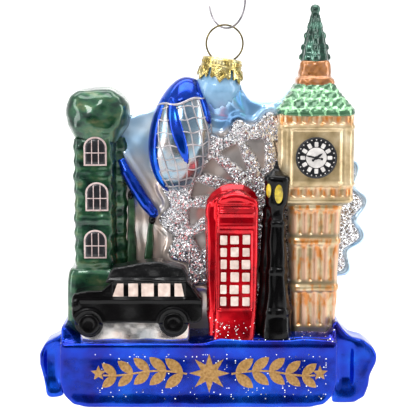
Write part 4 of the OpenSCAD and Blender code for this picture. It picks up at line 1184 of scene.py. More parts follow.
road_solids = [prism(rounded_box(-38.5, -3.0, BASE_H - 1.5, 30.4, 1.2), TAXI_Y0 + 1.8, TAXI_Y1)]
road = moulded("road", road_solids, 0.55, 8, uneven((0.2, 4.0, 13.0)))
place(road, "glass", "bare_silvering", road_silver, "road")

# %% [markdown]
# ## The bridge tower
# A green column with a bulging head, printed with three arched windows, and a blue chain that runs down
# from it.

# %% Bridge tower
SHAFT_LOW, SHAFT_HIGH = street_box("bridge_shaft")
BRIDGE_X = (SHAFT_LOW[0] + SHAFT_HIGH[0]) / 2
BRIDGE_W = SHAFT_HIGH[0] - SHAFT_LOW[0]
BRIDGE_D = SHAFT_HIGH[1] - SHAFT_LOW[1]
BRIDGE_Y = (SHAFT_LOW[1] + SHAFT_HIGH[1]) / 2
PLINTH_LOW, PLINTH_HIGH = street_box("bridge_plinth")
HEAD_LOW, HEAD_HIGH = street_box("bridge_head")
WINDOW_W, WINDOW_H = 7.5, 9.5
WINDOWS = [(BRIDGE_X - 0.1, 48.2), (BRIDGE_X + 0.6, 63.9), (BRIDGE_X + 0.2, 78.8)]


def calm(p):
    """0 on the flats that take the window prints, 1 elsewhere."""
    flat = np.zeros(len(p))
    for x, z in WINDOWS:
        flat = np.maximum(flat, inside(p[:, 0], x - 4.2, x + 4.2, 1.2)
                          * inside(p[:, 2], z - 0.4, z + 10, 1.2))
    return 1 - flat * (p[:, 1] < BRIDGE_Y - BRIDGE_D * 0.3)


def bridge_relief(p, out):
    courses = 0.2 * np.cos(p[:, 2] * 2 * math.pi / 4.7) * (1 - np.abs(out[:, 2]))
    return calm(p) * (courses + 0.22 * wander(p, 3.0, 14.0) + 0.12 * wander(p, 1.7, 15.0))


PLINTH_EDGE = 2.2  # how far the bright front edge reaches past the CAD plinth
plinth_left = PLINTH_LOW[0] - PLINTH_EDGE
plinth_mid = (plinth_left + PLINTH_HIGH[0]) / 2
plinth_w = PLINTH_HIGH[0] - plinth_left
plinth_d = PLINTH_HIGH[1] - PLINTH_LOW[1]
plinth_y = (PLINTH_LOW[1] + PLINTH_HIGH[1]) / 2
plinth_profile = [(BASE_H - 1, plinth_w + 0.4, plinth_d - 0.4),
                  (PLINTH_HIGH[2] - 5, plinth_w - 0.2, plinth_d - 0.4),
                  (PLINTH_HIGH[2] - 1.6, plinth_w - 0.8, plinth_d - 0.8),
                  (PLINTH_HIGH[2] + 0.2, plinth_w - 2.6, plinth_d - 2.0)]
plinth = moulded("bridge_plinth", [column(plinth_mid, plinth_y, plinth_profile, 7)], 0.5, 6,
                 uneven((0.15, 4.0, 14.5)))
place(plinth, "glass", "green_lacquer", tower_green, "bridge_plinth")
shaft_rows, side_rows = [], []
for z in np.arange(PLINTH_HIGH[2] - 1.0, HEAD_LOW[2] + 3, 4.0):
    shaft_rows.append(squircle(BRIDGE_X - 0.5, BRIDGE_Y, z, BRIDGE_W - 1.2, BRIDGE_D - 0.8, 7))
    side_rows.append(squircle(BRIDGE_X + 1.6, BRIDGE_Y + 2.2, z, BRIDGE_W + 3.0, BRIDGE_D - 6.5, 5))
bridge_shaft = moulded("bridge_shaft", [loft(shaft_rows), loft(side_rows)], 0.48, 6, bridge_relief)
place(bridge_shaft, "glass", "green_lacquer", tower_green, "bridge_shaft")
head_x = (HEAD_LOW[0] + HEAD_HIGH[0]) / 2
head_y = (HEAD_LOW[1] + HEAD_HIGH[1]) / 2
head_w, head_d = HEAD_HIGH[0] - HEAD_LOW[0], HEAD_HIGH[1] - HEAD_LOW[1]
head_rows = [(-1.2, 0.66, 0.8), (1.5, 0.8, 0.88), (4.5, 0.96, 0.98), (8.0, 1.0, 1.0), (11.5, 0.97, 0.97),
             (14.0, 0.84, 0.86), (15.6, 0.66, 0.66), (16.6, 0.4, 0.4), (16.95, 0.18, 0.2)]
bridge_head = moulded("bridge_head",
                      [loft([squircle(head_x - 0.4, head_y, HEAD_LOW[2] + z, head_w * w, head_d * d, 3.2)
                                            for z, w, d in head_rows])],
                      0.5, 8, lambda p, out: calm(p)
                      * (0.5 * wander(p, 3.4, 14.0) + 0.12 * wander(p, 1.7, 15.0)))
place(bridge_head, "glass", "green_lacquer", tower_green, "bridge_head")

# %% [markdown]
# Each window is a decal: a pale arched line round a black opening, crossed by two upright bars and a level
# one.

# %% Arched windows
def arch_outline(x, z, w, h, n=17):
    top = [(x + w / 2 * math.cos(a), z + h - w * 0.46 + w * 0.46 * math.sin(a))
           for a in np.linspace(0, math.pi, n)]
    level = [(x + w * (k / 8 - 0.5), z) for k in range(9)]
    return level + [(x + w / 2, z + h * 0.3)] + top + [(x - w / 2, z + h * 0.3)]


tower_face, head_face = face_of(bridge_shaft), face_of(bridge_head)


def nearest_face(x, z):
    return min(tower_face(x, z, 9.0), head_face(x, z, 9.0))


frames, glazing = [], []
for x, z in WINDOWS:
    frames.append(laid(arch_outline(x, z, WINDOW_W, WINDOW_H), nearest_face, 0.2))
    glazing.append(laid(arch_outline(x, z + 0.55, WINDOW_W - 1.1, WINDOW_H - 1.1), nearest_face, 0.42))
    for k in (-1, 1):
        frames.append(laid(rounded_box(x + k * 1.1 - 0.15, x + k * 1.1 + 0.15, z + 0.3, z + WINDOW_H - 0.9,
                                       0.1),
                           nearest_face, 0.62))
    frames.append(laid(rounded_box(x - WINDOW_W / 2 + 0.3, x + WINDOW_W / 2 - 0.3, z + 4.1, z + 4.4, 0.1),
                       nearest_face, 0.62))
window_frames = flat_piece("bridge_window_frames", frames)
place(window_frames, "glass", "pane_enamel", print_pink)
window_glass = flat_piece("bridge_windows", glazing)
place(window_glass, "glass", "black_print", print_black, "bridge_windows")

# %% [markdown]
# The chain is a moulded rope of glass between two blobs of black lacquer, over a pair of short green posts.

# %% Chain and posts
CHAIN_Y = street_box("bridge_chain")[0][1]
chain_path = [(-25.6, CHAIN_Y + 2.4, 80.4), (-23.9, CHAIN_Y + 1.6, 76.4), (-21.0, CHAIN_Y + 1.4, 71.4),
              (-17.4, CHAIN_Y + 1.4, 65.9), (-15.0, CHAIN_Y + 1.8, 62.6), (-14.4, CHAIN_Y + 2.4, 61.6)]
chain = moulded("bridge_chain", [tube(chain_path, [1.3, 1.8, 2.05, 2.05, 1.8, 1.3], 14)], 0.3, 4,
                uneven((0.12, 1.8, 16.0)))
place(chain, "glass", "cobalt_lacquer", pod_blue, "bridge_chain")
knots = moulded("bridge_chain_knots", [ball(-22.4, CHAIN_Y + 1.8, 68.6, 1.0, 1.2, 1.7),
                                       ball(-15.4, CHAIN_Y + 1.8, 60.3, 1.2, 1.2, 1.6)],
                0.25, 2)
place(knots, "glass", "black_lacquer", black_gloss)
posts = moulded("bridge_posts", [prism([(-24.0, 40.0), (-20.4, 40.0), (-20.9, 60.0), (-21.2, 68.6),
                                        (-23.2, 68.6), (-23.6, 55)],
                                       CHAIN_Y + 1.2, CHAIN_Y + 5),
                                 prism([(-18.9, 40.0), (-15.6, 40.0), (-15.0, 52), (-14.7, 60.0),
                                        (-16.4, 60.8), (-17.6, 52)],
                                       CHAIN_Y + 1.2, CHAIN_Y + 5)],
                0.4, 6, uneven((0.2, 2.4, 17.0)))
place(posts, "glass", "green_lacquer", post_green, "bridge_posts")

# %% [markdown]
# ## Sky, wheel and egg tower
# The sky is the main bubble: a pillow of pale blue glass between the towers, with the neck on top. The
# wheel is a shallow relief on it under silver glitter, and the egg tower bulges out in front.

# %% The wheel's place and edge
SKY_LOW, SKY_HIGH = street_box("sky")
WHEEL_X, WHEEL_Z = 20.7, 62.9
CAPSULES, CAPSULE_TURN = 18, math.radians(5.5)


def wheel_edge(turn, out=0.0):
    """Radius of the wheel's scalloped edge."""
    away = (turn - 2.1 + math.pi) % (2 * math.pi) - math.pi
    return 32.4 + out - 2.6 * np.exp(-(away / 0.55) ** 2) + 1.8 * np.cos(CAPSULES * (turn - CAPSULE_TURN))


print("wheel's edge at the right", round(float(wheel_edge(0.0)), 1))

# %% [markdown]
# The neck leans, and cap and hanger lean with it. The joint that turns the glass under the cap gives the
# axis, and one function places every ring round it.

# %% The neck's axis
NECK_SWIVEL = next(j for j in frame["joints"] if j["name"] == "neck_turn")
neck_at = (np.array(NECK_SWIVEL["pos_m"]) - STREET) / MM
neck_up = np.array(NECK_SWIVEL["axis"], float)
neck_up = neck_up / np.linalg.norm(neck_up)
neck_side = np.array([neck_up[2], 0.0, -neck_up[0]])
neck_deep = np.array([0.0, 1.0, 0.0])


def on_neck(r, turn, z, r_deep=None, back=0.0):
    """Round the neck's axis: radius, turn from the viewer's right, height over the rim."""
    deep = (r if r_deep is None else r_deep) * math.sin(turn) + back
    return neck_at + neck_side * r * math.cos(turn) + neck_deep * deep + neck_up * z


SHOULDER = [(-7.4, 7.0, 7.0, 0.0), (-10.0, 7.5, 7.3, 0.1), (-12.5, 8.7, 7.0, 0.5), (-14.5, 10.6, 6.3, 1.0),
            (-16.5, 13.0, 5.4, 1.6), (-18.5, 15.0, 4.6, 2.0)]


def shoulder(z, turn, lift=0.0):
    """A point on the flare where the neck runs into the sky."""
    heights = [row[0] for row in SHOULDER][::-1]
    side, deep, back = (np.interp(z, heights, [row[i] for row in SHOULDER][::-1]) for i in (1, 2, 3))
    return on_neck(side + lift, turn, z, deep + lift, back)


print("neck rim at", neck_at.round(2), "axis", neck_up.round(3))

# %% [markdown]
# The sky is one lacquered skin with two colours that run into each other: a light blue wash above, and bare
# silvering below it and over the wheel, whose pinkish cast is a painted reflection. The palest stop of the
# blue wash paints highlights in random patches. Height and distance from the wheel's axis choose between
# them, and a noise makes the join uneven.

# %% Finish: the sky's two washes
def sky_lacquer(name, centre, radius, level):
    made, tree, where = new_material(name)
    film = add(tree, "TexNoise", {"W": 3.0, "Scale": per_mm(14), "Detail": 2.0}, {"Vector": where},
               noise_dimensions="4D")
    # the palest stop of this ramp is a painted highlight, in random patches
    blue = add(tree, "ValToRGB", links={"Fac": film.outputs["Fac"]},
               stops=[(0.26, "#5E9CD8"), (0.42, "#8EC0EC"), (0.56, "#BCDCF4"), (0.74, "#E3EDF4")])
    # the pinkish stops of this ramp are a painted reflection on the bare silvering
    bare = add(tree, "ValToRGB", links={"Fac": film.outputs["Fac"]},
               stops=[(0.28, "#A8A29F"), (0.44, "#D2CAC5"), (0.58, "#E2CBBC"), (0.76, "#F0ECE8")])
    edge = add(tree, "TexNoise", {"W": 8.0, "Scale": per_mm(6), "Detail": 2.0}, {"Vector": where},
               noise_dimensions="4D")
    part = add(tree, "SeparateXYZ", links={"Vector": where})
    wobble = add(tree, "Math", {1: 10 * MM}, {0: edge.outputs["Fac"]}, operation="MULTIPLY")
    height = add(tree, "Math", links={0: part.outputs["Z"], 1: wobble.outputs[0]}, operation="ADD")
    high = add(tree, "MapRange", {"From Min": STREET[2] + (level - 2) * MM,
                                  "From Max": STREET[2] + (level + 12) * MM},
               {"Value": height.outputs[0]})
    flat = add(tree, "CombineXYZ", links={"X": part.outputs["X"], "Z": part.outputs["Z"]})
    hub = to_row((centre[0], 0.0, centre[1]))
    away = add(tree, "VectorMath", {1: (hub[0], 0.0, hub[2])}, {0: flat.outputs["Vector"]},
               operation="DISTANCE")
    outside = add(tree, "MapRange", {"From Min": (radius - 1) * MM, "From Max": (radius + 1) * MM},
                  {"Value": away.outputs["Value"]})
    amount = add(tree, "Math", links={0: high.outputs["Result"], 1: outside.outputs["Result"]},
                 operation="MULTIPLY")
    tint = add(tree, "MixRGB", links={"Fac": amount.outputs[0], "Color1": bare.outputs["Color"],
                                      "Color2": blue.outputs["Color"]})
    waves = add(tree, "TexNoise", {"W": 11.0, "Scale": per_mm(6), "Detail": 1.0}, {"Vector": where},
                noise_dimensions="4D")
    bump = add(tree, "Bump", {"Strength": 0.5, "Distance": 0.6 * MM}, {"Height": waves.outputs["Fac"]})
    shader = add(tree, "BsdfPrincipled", {"Metallic": 0.58, "Roughness": 0.24, "Coat Weight": 0.7,
                                          "Coat Roughness": 0.08},
                 {"Base Color": tint.outputs["Color"], "Normal": bump.outputs["Normal"]})
    add(tree, "OutputMaterial", links={"Surface": shader.outputs["BSDF"]})
    return made


print("hub of the sky's two washes", (WHEEL_X, WHEEL_Z))

# %% [markdown]
# The skin is a flat outline and the neck's flare, fused. Its relief raises a lip round the wheel, a
# slanting cable and some soft folds; the part behind the clock tower follows the wheel's scallops.

# %% Sky
sky_outline = [(-27, BASE_H - 2), (43, BASE_H - 2), (43, 60), (40, 99.5), (30.4, 103.6), (28.4, 100.6),
               (24.7, 99.2),
               (20.4, 98.7), (16.8, 99.9), (14.2, 103.0), (0.0, 103.0), (-14.6, 97.2), (-20.2, 95.8),
               (-27, 93.0)]
sky_right_outline = [(40, 30)] + [(WHEEL_X + wheel_edge(a, 1.6) * math.cos(a),
                                   WHEEL_Z + wheel_edge(a, 1.6) * math.sin(a))
                                  for a in np.linspace(-0.72, 0.62, 30)] + [(40, 84)]


def sky_relief(p, out):
    x, z = p[:, 0], p[:, 2]
    front = facing(out, y=-1)
    away, turn = np.hypot(x - WHEEL_X, z - WHEEL_Z), np.arctan2(z - WHEEL_Z, x - WHEEL_X)
    lip = 0.8 * inside(away - wheel_edge(turn), 0.4, 1.5, 0.6)
    along = ((x + 24.6) * 0.53 - (z - 82.5) * 0.85)
    beside = ((x + 24.6) * 0.85 + (z - 82.5) * 0.53)
    cable = 0.9 * np.exp(-(beside / 0.8) ** 2) * inside(along, 0, 23, 1.5)
    folds = 0.35 * np.sin(x * 1.1 + 0.12 * z) * inside(z, 30, 66, 6) * inside(x, -22, -8, 2)
    return (lip + cable + folds) * front + 0.6 * wander(p, 6.0, 18.0) + 0.2 * wander(p, 3.0, 19.0)


neck_flare = loft([[shoulder(z, k * math.pi / 24) for k in range(48)] for z, *_ in SHOULDER])
sky_blue = sky_lacquer("two_washes_of_lacquer_on_silvered_glass", (WHEEL_X, WHEEL_Z), 30.0, 80.0)
sky = moulded("sky", [prism(sky_outline, SKY_LOW[1] + 0.6, SKY_HIGH[1] - 0.6), neck_flare], 0.6, 12,
              sky_relief)
place(sky, "glass", "sky_lacquer", sky_blue, "sky")
sky_right = moulded("sky_right", [prism(sky_right_outline, SKY_LOW[1] + 0.2, SKY_HIGH[1] - 0.4)], 0.5, 8,
                    sky_relief)
edge_blue = silvered_lacquer("pale_blue_wash_on_silvered_glass",
                             [(0.3, "#9CC6E8"), (0.5, "#CFE4F4"), (0.7, "#E6EEF4")], 7,
                             0.7, (0.15, 0.28), 0.4, seed=15)
place(sky_right, "glass", "sky_lacquer", edge_blue, "sky_right")

# %% [markdown]
# The wheel is one glittered disc with a scalloped edge, where its capsules are. The gaps between its
# slanting spokes are wedge-shaped hollows, left free of glue, with bare silvered glass at the bottom.

# %% Big wheel
def wheel_gap(r, turn):
    """1 in a gap between two spokes, 0 on the glitter, with a soft edge; the gaps lean as the spokes do."""
    pitch_turn = math.radians(22.5)
    lean = math.radians(9.0) * (24.0 - r) / 12.0
    from_middle = (turn - math.radians(95.0) + lean + pitch_turn / 2) % pitch_turn - pitch_turn / 2
    half = math.radians(7.6) * np.clip((r - 10.5) / 12.5, 0, 1)
    return ramp((half - np.abs(from_middle)) * r, -0.35, 0.55) * inside(r, 12.5, 23.6, 0.7)


def wheel_solid():
    """A closed relief on a polar grid: its front stands proud of the sky but for the gaps."""
    angles, radii = 480, 120
    turn = np.arange(angles) * 2 * math.pi / angles
    share = np.linspace(0.01, 1.0, radii)
    r = share[:, None] * wheel_edge(turn)[None, :]
    around_grid = np.broadcast_to(turn, r.shape)
    tall = 1 - wheel_gap(r, around_grid)
    rolled = 1 - ramp(share, 0.975, 1.0)[:, None] * 0.75
    front = SKY_LOW[1] + 1.2 - 3.0 * tall * rolled
    x, z = WHEEL_X + r * np.cos(around_grid), WHEEL_Z + r * np.sin(around_grid)
    points = np.concatenate([np.stack([x, front, z], 2).reshape(-1, 3),
                             np.stack([x, np.full_like(x, SKY_LOW[1] + 3.0), z], 2).reshape(-1, 3)])
    count, faces = radii * angles, []
    for i in range(radii - 1):
        for k in range(angles):
            j = (k + 1) % angles
            a, b, c, d = i * angles + k, i * angles + j, (i + 1) * angles + j, (i + 1) * angles + k
            faces += [(a, b, c, d), (count + a, count + d, count + c, count + b)]
    last = (radii - 1) * angles
    for k in range(angles):
        j = (k + 1) % angles
        faces += [(last + k, last + j, count + last + j, count + last + k), (k, count + k, count + j, j)]
    return points, faces


def glued(p, out):
    """The grain of the glue, only where the relief stands proud."""
    proud = ramp(SKY_LOW[1] - p[:, 1], -0.2, 0.6)
    return proud * (0.1 * wander(p, 0.6, 20.0) + 0.3 * wander(p, 4.0, 21.0))


wheel = moulded("wheel_rim", [wheel_solid()], 0.34, 1, glued, 0)
place(wheel, "glass", "silver_glitter", glitter, "wheel_rim", "wheel_spokes")

# %% [markdown]
# The egg tower is a leaning egg, a little fuller below its middle. One function gives a point on it from a
# height and a turn, and its lattice and blue cap use the same function, so they follow it closely.

# %% Egg tower
EGG_X, EGG_Y, EGG_Z = -5.9, (SKY_LOW[1] + SKY_HIGH[1]) / 2 - 3.6, BASE_H + 65.4
EGG_LEAN = math.radians(9)
EGG_WIDE, EGG_DEEP, EGG_L = 10.2, 9.9, 37.4


def egg_point(t, turn, lift=0.0):
    """A point on the egg: t from -1 (foot) to 1 (tip), turn round its axis from the front."""
    a = t * math.pi / 2
    swell = math.cos(a) * (1 - 0.12 * math.sin(a))
    x, y = (EGG_WIDE * swell + lift) * math.sin(turn), -(EGG_DEEP * swell + lift) * math.cos(turn)
    z = EGG_L / 2 * math.sin(a) + lift * math.sin(a)
    return (EGG_X + x * math.cos(EGG_LEAN) + z * math.sin(EGG_LEAN), EGG_Y + y,
            EGG_Z - x * math.sin(EGG_LEAN) + z * math.cos(EGG_LEAN))


ROUND = [k * 2 * math.pi / 72 for k in range(72)]
egg = moulded("egg_tower", [loft([[egg_point(t, a) for a in ROUND]
                                  for t in np.linspace(-0.985, 0.985, 40)])], 0.4, 2,
              uneven((0.15, 4.0, 22.0)))
place(egg, "glass", "bare_silvering", egg_silver, "egg_tower")

# %% [markdown]
# The blue cap is thick lacquer over the tip, with three pointed bands that run down the egg.

# %% The egg's blue cap
def egg_band(middle, half, t0, t1, lift=0.5, steps=40, across=10):
    """A raised skin on the egg along a slanting line, with rounded borders and pointed or round ends."""
    grid = []
    for i in range(steps + 1):
        t = t0 + (t1 - t0) * i / steps
        row = []
        for k in range(across + 1):
            f = 2 * k / across - 1
            row.append(egg_point(t, middle(t) + half(t) * f,
                                 lift * (1 - f ** 4) * min(1.0, 6 * half(t)) + 0.03))
        row += [egg_point(t, middle(t) - half(t) * f, -0.6) for f in np.linspace(-1, 1, across + 1)]
        grid.append(row)
    return loft(grid)


def egg_border(turn):
    """Height on the egg where the blue cap ends."""
    return 0.42 + 0.12 * math.sin(turn) + 0.02 * math.sin(5 * turn)


EGG_TIP = 0.985
cap_rings = []
for share in np.linspace(0, 1, 24):
    lift = 0.45 * min(1.0, share * 9) ** 0.5 - (0.5 if share == 0 else 0.0)
    cap_rings.append([egg_point(egg_border(a) + (EGG_TIP - egg_border(a)) * share, a, lift) for a in ROUND])


def slant(at, level, lean):
    """The middle line of a band: its turn at a level, and how fast it leans."""
    return lambda t: at + (level - t) * lean


def pointed(t):
    return 0.235 * max(0.02, 1 - ((t - 0.12) / 0.42) ** 2) ** 0.6


def blunt(t):
    return 0.27 * max(0.05, min(1, (t - 0.17) * 9)) ** 0.5


egg_bands = [loft(cap_rings), egg_band(slant(-0.56, 0.36, 1.45), pointed, -0.29, 0.44),
             egg_band(slant(0.80, 0.53, 1.15), blunt, 0.18, 0.56),
             egg_band(slant(-1.32, 0.4, 0.55), lambda t: 0.36 - 0.12 * (0.4 - t), -0.93, 0.42)]
egg_cap = flat_piece("egg_tower_cap", egg_bands)
place(egg_cap, "glass", "cobalt_lacquer", pod_blue, "egg_tower_cap")

# %% [markdown]
# The lattice is a raised line of enamel, drawn by hand in two directions, so its lines waver a little.

# %% The egg's lattice
lattice = []
for start in np.arange(-1.9, 3.4, 0.38):
    path = []
    for t in np.linspace(-0.72, 0.55, 30):
        turn = start - 1.15 * t + 0.02 * math.sin(t * 14 + start)
        if -1.15 < turn < 1.5 and t < egg_border(turn) + 0.02:
            path.append(egg_point(t, turn, 0.06))
    if len(path) > 3:
        lattice.append(tube(path, 0.24, 8))
for level in np.arange(-0.7, 0.6, 0.15):
    path = []
    for turn in np.linspace(-1.2, 1.5, 40):
        t = level + 0.07 * turn + 0.012 * math.sin(turn * 9 + level * 20)
        if t < egg_border(turn) + 0.01:
            path.append(egg_point(t, turn, 0.06))
    if len(path) > 3:
        lattice.append(tube(path, 0.22, 8))
lattice.append(tube([egg_point(egg_border(a) - 0.005, a, 0.25) for a in np.linspace(-1.4, 1.4, 50)], 0.42,
                    8))
egg_lattice = flat_piece("egg_lattice", lattice)
place(egg_lattice, "glass", "ivory_print", lattice_white)

# %% [markdown]
# ## Neck, cap, hanger and hook
# The neck is blown glass under a matt wash. It goes up inside the cap, and the wash ends in a ragged hem
# where the neck flares into the sky.

# %% Neck
def neck_hem(turn):
    """How far down the matt wash reaches; it ends in a ragged tongue at the front."""
    away = abs((turn + math.pi / 2 + math.pi) % (2 * math.pi) - math.pi)
    return -8.6 - 7.6 * max(0.0, 1 - away / 1.15) - 0.45 * (math.sin(turn * 23) + 0.7 * math.sin(turn * 41))


neck_rings = []
for r, z in [(4.6, -0.6), (5.2, -0.25), (5.7, -0.4), (5.75, -2.0), (6.5, -4.5), (7.0, -7.2)]:
    neck_rings.append([on_neck(r, a, z) for a in ROUND])
for share in np.linspace(0.1, 1, 14):
    neck_rings.append([shoulder(-7.2 + (neck_hem(a) + 7.2) * share, a, 0.26 + 0.25 * math.sin(share * 3))
                       for a in ROUND])
neck_rings.append([shoulder(neck_hem(a) - 0.1, a, -0.4) for a in ROUND])
neck_rings.append([shoulder(-9.0, a, -1.6) for a in ROUND])
neck_rings.append([on_neck(4.9, a, -8.0) for a in ROUND])
neck = flat_piece("neck", [loft(neck_rings)])
place(neck, "glass", "neck_lacquer", neck_grey, "neck")

# %% [markdown]
# The cap is stamped from thin sheet as a crown: a plate, a beaded band and a skirt of leaves pressed
# against the neck. The stamping is worked out on a grid round the axis: ribs, beads and diamonds are
# heights on the sheet, and the gaps between the leaves are left out of the grid. A solidify modifier then
# gives the sheet its thickness.

# %% Crown cap
CAP_LEAVES, CAP_BEADS, CAP_TOP, SKIRT_TOP, SHEET = 6, 42, 0.43, -2.9, 0.22
SLOT_IN, SLOT_OUT, SLOT_HALF = 2.9, 5.5, 0.6


def cap_radius(z):
    return np.interp(z, [-7.6, -6.6, -4.2, -2.2, -0.2, 0.45], [7.62, 7.42, 7.1, 6.5, 6.34, 6.1])


def crown_cap():
    around_n, down_n = 540, 64
    points, faces, index = [], [], {}
    for i in range(down_n):
        z = 0.42 - 7.9 * i / (down_n - 1)
        for k in range(around_n):
            turn = k * 2 * math.pi / around_n
            leaf_turn = ((turn * CAP_LEAVES / (2 * math.pi)) % 1.0 - 0.5) * 2
            away = abs(leaf_turn)
            tip = -5.5 - 1.9 * max(0.0, 1 - away / 0.42) - 0.75 * max(0.0, 1 - abs(away - 0.72) / 0.2)
            if (away > 0.87 and z < SKIRT_TOP) or z < tip:
                continue
            edge = max(0.0, 1 - abs(0.87 - away) * 9) if z < SKIRT_TOP else 0.0
            rib = max(0.0, 1 - away * 9) * (1 if z < -2.6 else 0)
            bead = max(0.0, math.cos(turn * CAP_BEADS)) ** 2 * max(0.0, 1 - abs(z + 1.1) / 0.6)
            rim_line = max(0.0, 1 - abs(z + 2.1) / 0.3) + max(0.0, 1 - abs(z + 0.1) / 0.3)
            diamond = max(0.0, 1 - abs(1.0 - (away * 2.4 + abs(z + 4.5) / 1.5)) * 2.6)
            vein = 0.6 * max(0.0, math.cos(away * 11) * math.cos(z * 3.0)) * (1 if z < -2.5 else 0)
            height = 0.5 * edge + 0.1 * rib + 0.4 * bead + 0.4 * rim_line + 0.6 * diamond + 0.25 * vein
            index[i, k] = len(points)
            points.append(on_neck(float(cap_radius(z)) + 0.1 + 0.5 * height, turn, z))
    for i in range(down_n - 1):
        for k in range(around_n):
            j = (k + 1) % around_n
            ring = [(i, k), (i + 1, k), (i + 1, j), (i, j)]
            if all(c in index for c in ring):
                faces.append([index[c] for c in ring])
    top = []
    for i in range(1, 9):
        f = 1 - i / 9
        top.append([])
        for k in range(around_n):
            turn = k * 2 * math.pi / around_n
            r = float(cap_radius(0.42)) * f + 0.1
            petal = 0.1 * math.cos(turn * 12) * (1 if 0.35 < f < 0.85 else 0)
            top[-1].append(len(points))
            points.append(on_neck(r, turn, CAP_TOP + 0.12 * math.sin(f * math.pi) + petal * 0.4))
    rows = [[index[0, k] for k in range(around_n)]] + top
    for a, b in zip(rows, rows[1:]):
        for k in range(around_n):
            j = (k + 1) % around_n
            middle = np.mean([points[c] for c in (a[k], a[j], b[j], b[k])], 0) - neck_at
            side, deep = middle.dot(neck_side), middle.dot(neck_deep)
            if SLOT_IN < abs(side) < SLOT_OUT and abs(deep) < SLOT_HALF:
                continue
            faces.append([a[k], a[j], b[j], b[k]])
    faces.append(rows[-1])
    made = make_object("crown_cap", points, faces)
    shape = bmesh.new()
    shape.from_mesh(made.data)
    bmesh.ops.delete(shape, geom=[v for v in shape.verts if not v.link_faces], context="VERTS")
    bmesh.ops.recalc_face_normals(shape, faces=shape.faces)
    shape.to_mesh(made.data)
    shape.free()
    sheet = made.modifiers.new("sheet", "SOLIDIFY")
    sheet.thickness, sheet.offset = SHEET * MM, -1.0
    bake(made)
    made.data.shade_smooth()
    return made


cap = crown_cap()
place(cap, "cap", "cap_brass", cap_brass, "crown_cap")
print("crown_cap:", len(cap.data.polygons), "faces")

# %% [markdown]
# The hanger is one wire: a ring with two legs that go down through the cap's slots and spread inside the
# neck.

# %% Hanger wire
SWING = next(j for j in frame["joints"] if j["name"] == "ring_swing")
pivot = (np.array(SWING["pos_m"]) - STREET) / MM
RING_R, RING_LIFT, WIRE_R = 6.0, 4.85, 0.31
RING_UP = CAP_TOP + RING_LIFT
opening = math.asin(math.sqrt(RING_R ** 2 - RING_LIFT ** 2) / RING_R)
hanger_path = []
for side in (1, -1):
    legs = [(4.2, -12.2), (4.1, -9), (3.9, -6), (3.6, -3), (3.45, -1.0), (3.45, CAP_TOP - 0.3)]
    stretch = [neck_at + neck_side * side * x + neck_up * z for x, z in legs]
    hanger_path += stretch if side > 0 else []
    if side > 0:
        for a in np.linspace(-math.pi / 2 + opening + 0.06, 1.5 * math.pi - opening - 0.06, 60):
            hanger_path.append(neck_at + neck_side * RING_R * math.cos(a)
                               + neck_up * (RING_UP + RING_R * math.sin(a)))
    else:
        hanger_path += stretch[::-1]
hanger = flat_piece("hanger_wire", [tube(hanger_path, WIRE_R, 12)])
place(hanger, "hanger", "hanger_brass", wire_brass, "hanger_wire")

# %% [markdown]
# The hook is one wire too, bent to an S. The ring hangs in its lower bend, at the joint's pivot.

# %% Hook
HOOK_LOW_R, HOOK_TOP_R, HOOK_L, HOOK_TURN, HOOK_R = 9.0, 10.0, 34.0, math.radians(40), 0.35
hook_across = np.array([math.sin(HOOK_TURN), -math.cos(HOOK_TURN), 0.0])
hook_up = np.array([0.0, 0.0, 1.0])
hook_slant = math.asin((HOOK_LOW_R + HOOK_TOP_R) / HOOK_L)
hook_path = []
for a in np.linspace(math.radians(190), 2 * math.pi + hook_slant, 44):
    hook_path.append(pivot + hook_across * HOOK_LOW_R * math.cos(a)
                     + hook_up * (HOOK_LOW_R + HOOK_LOW_R * math.sin(a)))
for a in np.linspace(math.pi + hook_slant, math.radians(-25), 52):
    hook_path.append(pivot + hook_across * HOOK_TOP_R * math.cos(a)
                     + hook_up * (HOOK_LOW_R + HOOK_L + HOOK_TOP_R * math.sin(a)))
hook_radii = np.full(len(hook_path), HOOK_R - 0.01)
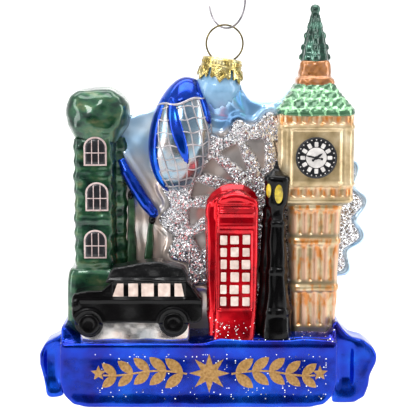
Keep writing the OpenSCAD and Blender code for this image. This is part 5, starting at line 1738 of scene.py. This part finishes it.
hook_radii[0] = hook_radii[-1] = HOOK_R * 0.55
hook = flat_piece("hook", [tube(hook_path, hook_radii, 14)])
place(hook, "hook", "hook_wire", hook_steel, "hook")

# %% [markdown]
# ## Loose glitter
# Flakes stray from the wheel onto the banner and the foot of the phone box. They are thin six-sided plates
# about 0.4 mm across, twice the size taken for a real flake, laid on the glass by a seeded draw, so every
# run puts them in the same places.

# %% Stray flakes
draw = np.random.default_rng(7)


def flakes_on(name, target, count, keep, size):
    """Scatters flakes on a piece where keep(points, normals) is true."""
    mesh = target.data
    centres = np.empty(len(mesh.polygons) * 3, np.float32)
    normals = np.empty(len(mesh.polygons) * 3, np.float32)
    mesh.polygons.foreach_get("center", centres)
    mesh.polygons.foreach_get("normal", normals)
    centres = (centres.reshape(-1, 3).astype(float) - STREET) / MM
    normals = normals.reshape(-1, 3).astype(float)
    able = np.flatnonzero(keep(centres, normals))
    chosen = draw.choice(able, min(count, len(able)), replace=False)
    solids = []
    for i in chosen:
        n = normals[i] + draw.normal(0, 0.22, 3)
        n = n / np.linalg.norm(n)
        u = np.cross(n, [0.31, 0.2, 0.93])
        u = u / np.linalg.norm(u)
        v = np.cross(n, u)
        r = size * draw.uniform(0.6, 1.15)
        at = centres[i] + normals[i] * 0.03
        ring = [at + r * (math.cos(a) * u + math.sin(a) * v) for a in np.arange(6) * math.pi / 3]
        solids.append(loft([[p - n * 0.02 for p in ring], [p + n * 0.05 for p in ring]]))
    made = flat_piece(name, solids)
    made.data.shade_flat()
    place(made, "glass", "silver_glitter", flake_silver)


flakes_on("banner_flakes", banner, 260,
           lambda p, n: ((n[:, 1] < -0.6) & (p[:, 2] > 3) & (p[:, 2] < 19)
                         & (p[:, 0] > -34) & (p[:, 0] < 42))
          | ((n[:, 2] > 0.6) & (p[:, 1] < -12) & (p[:, 0] > 0)), 0.22)
flakes_on("box_flakes", phone_box, 60, lambda p, n: (n[:, 1] < -0.6) & (p[:, 2] > 23) & (p[:, 2] < 30), 0.2)
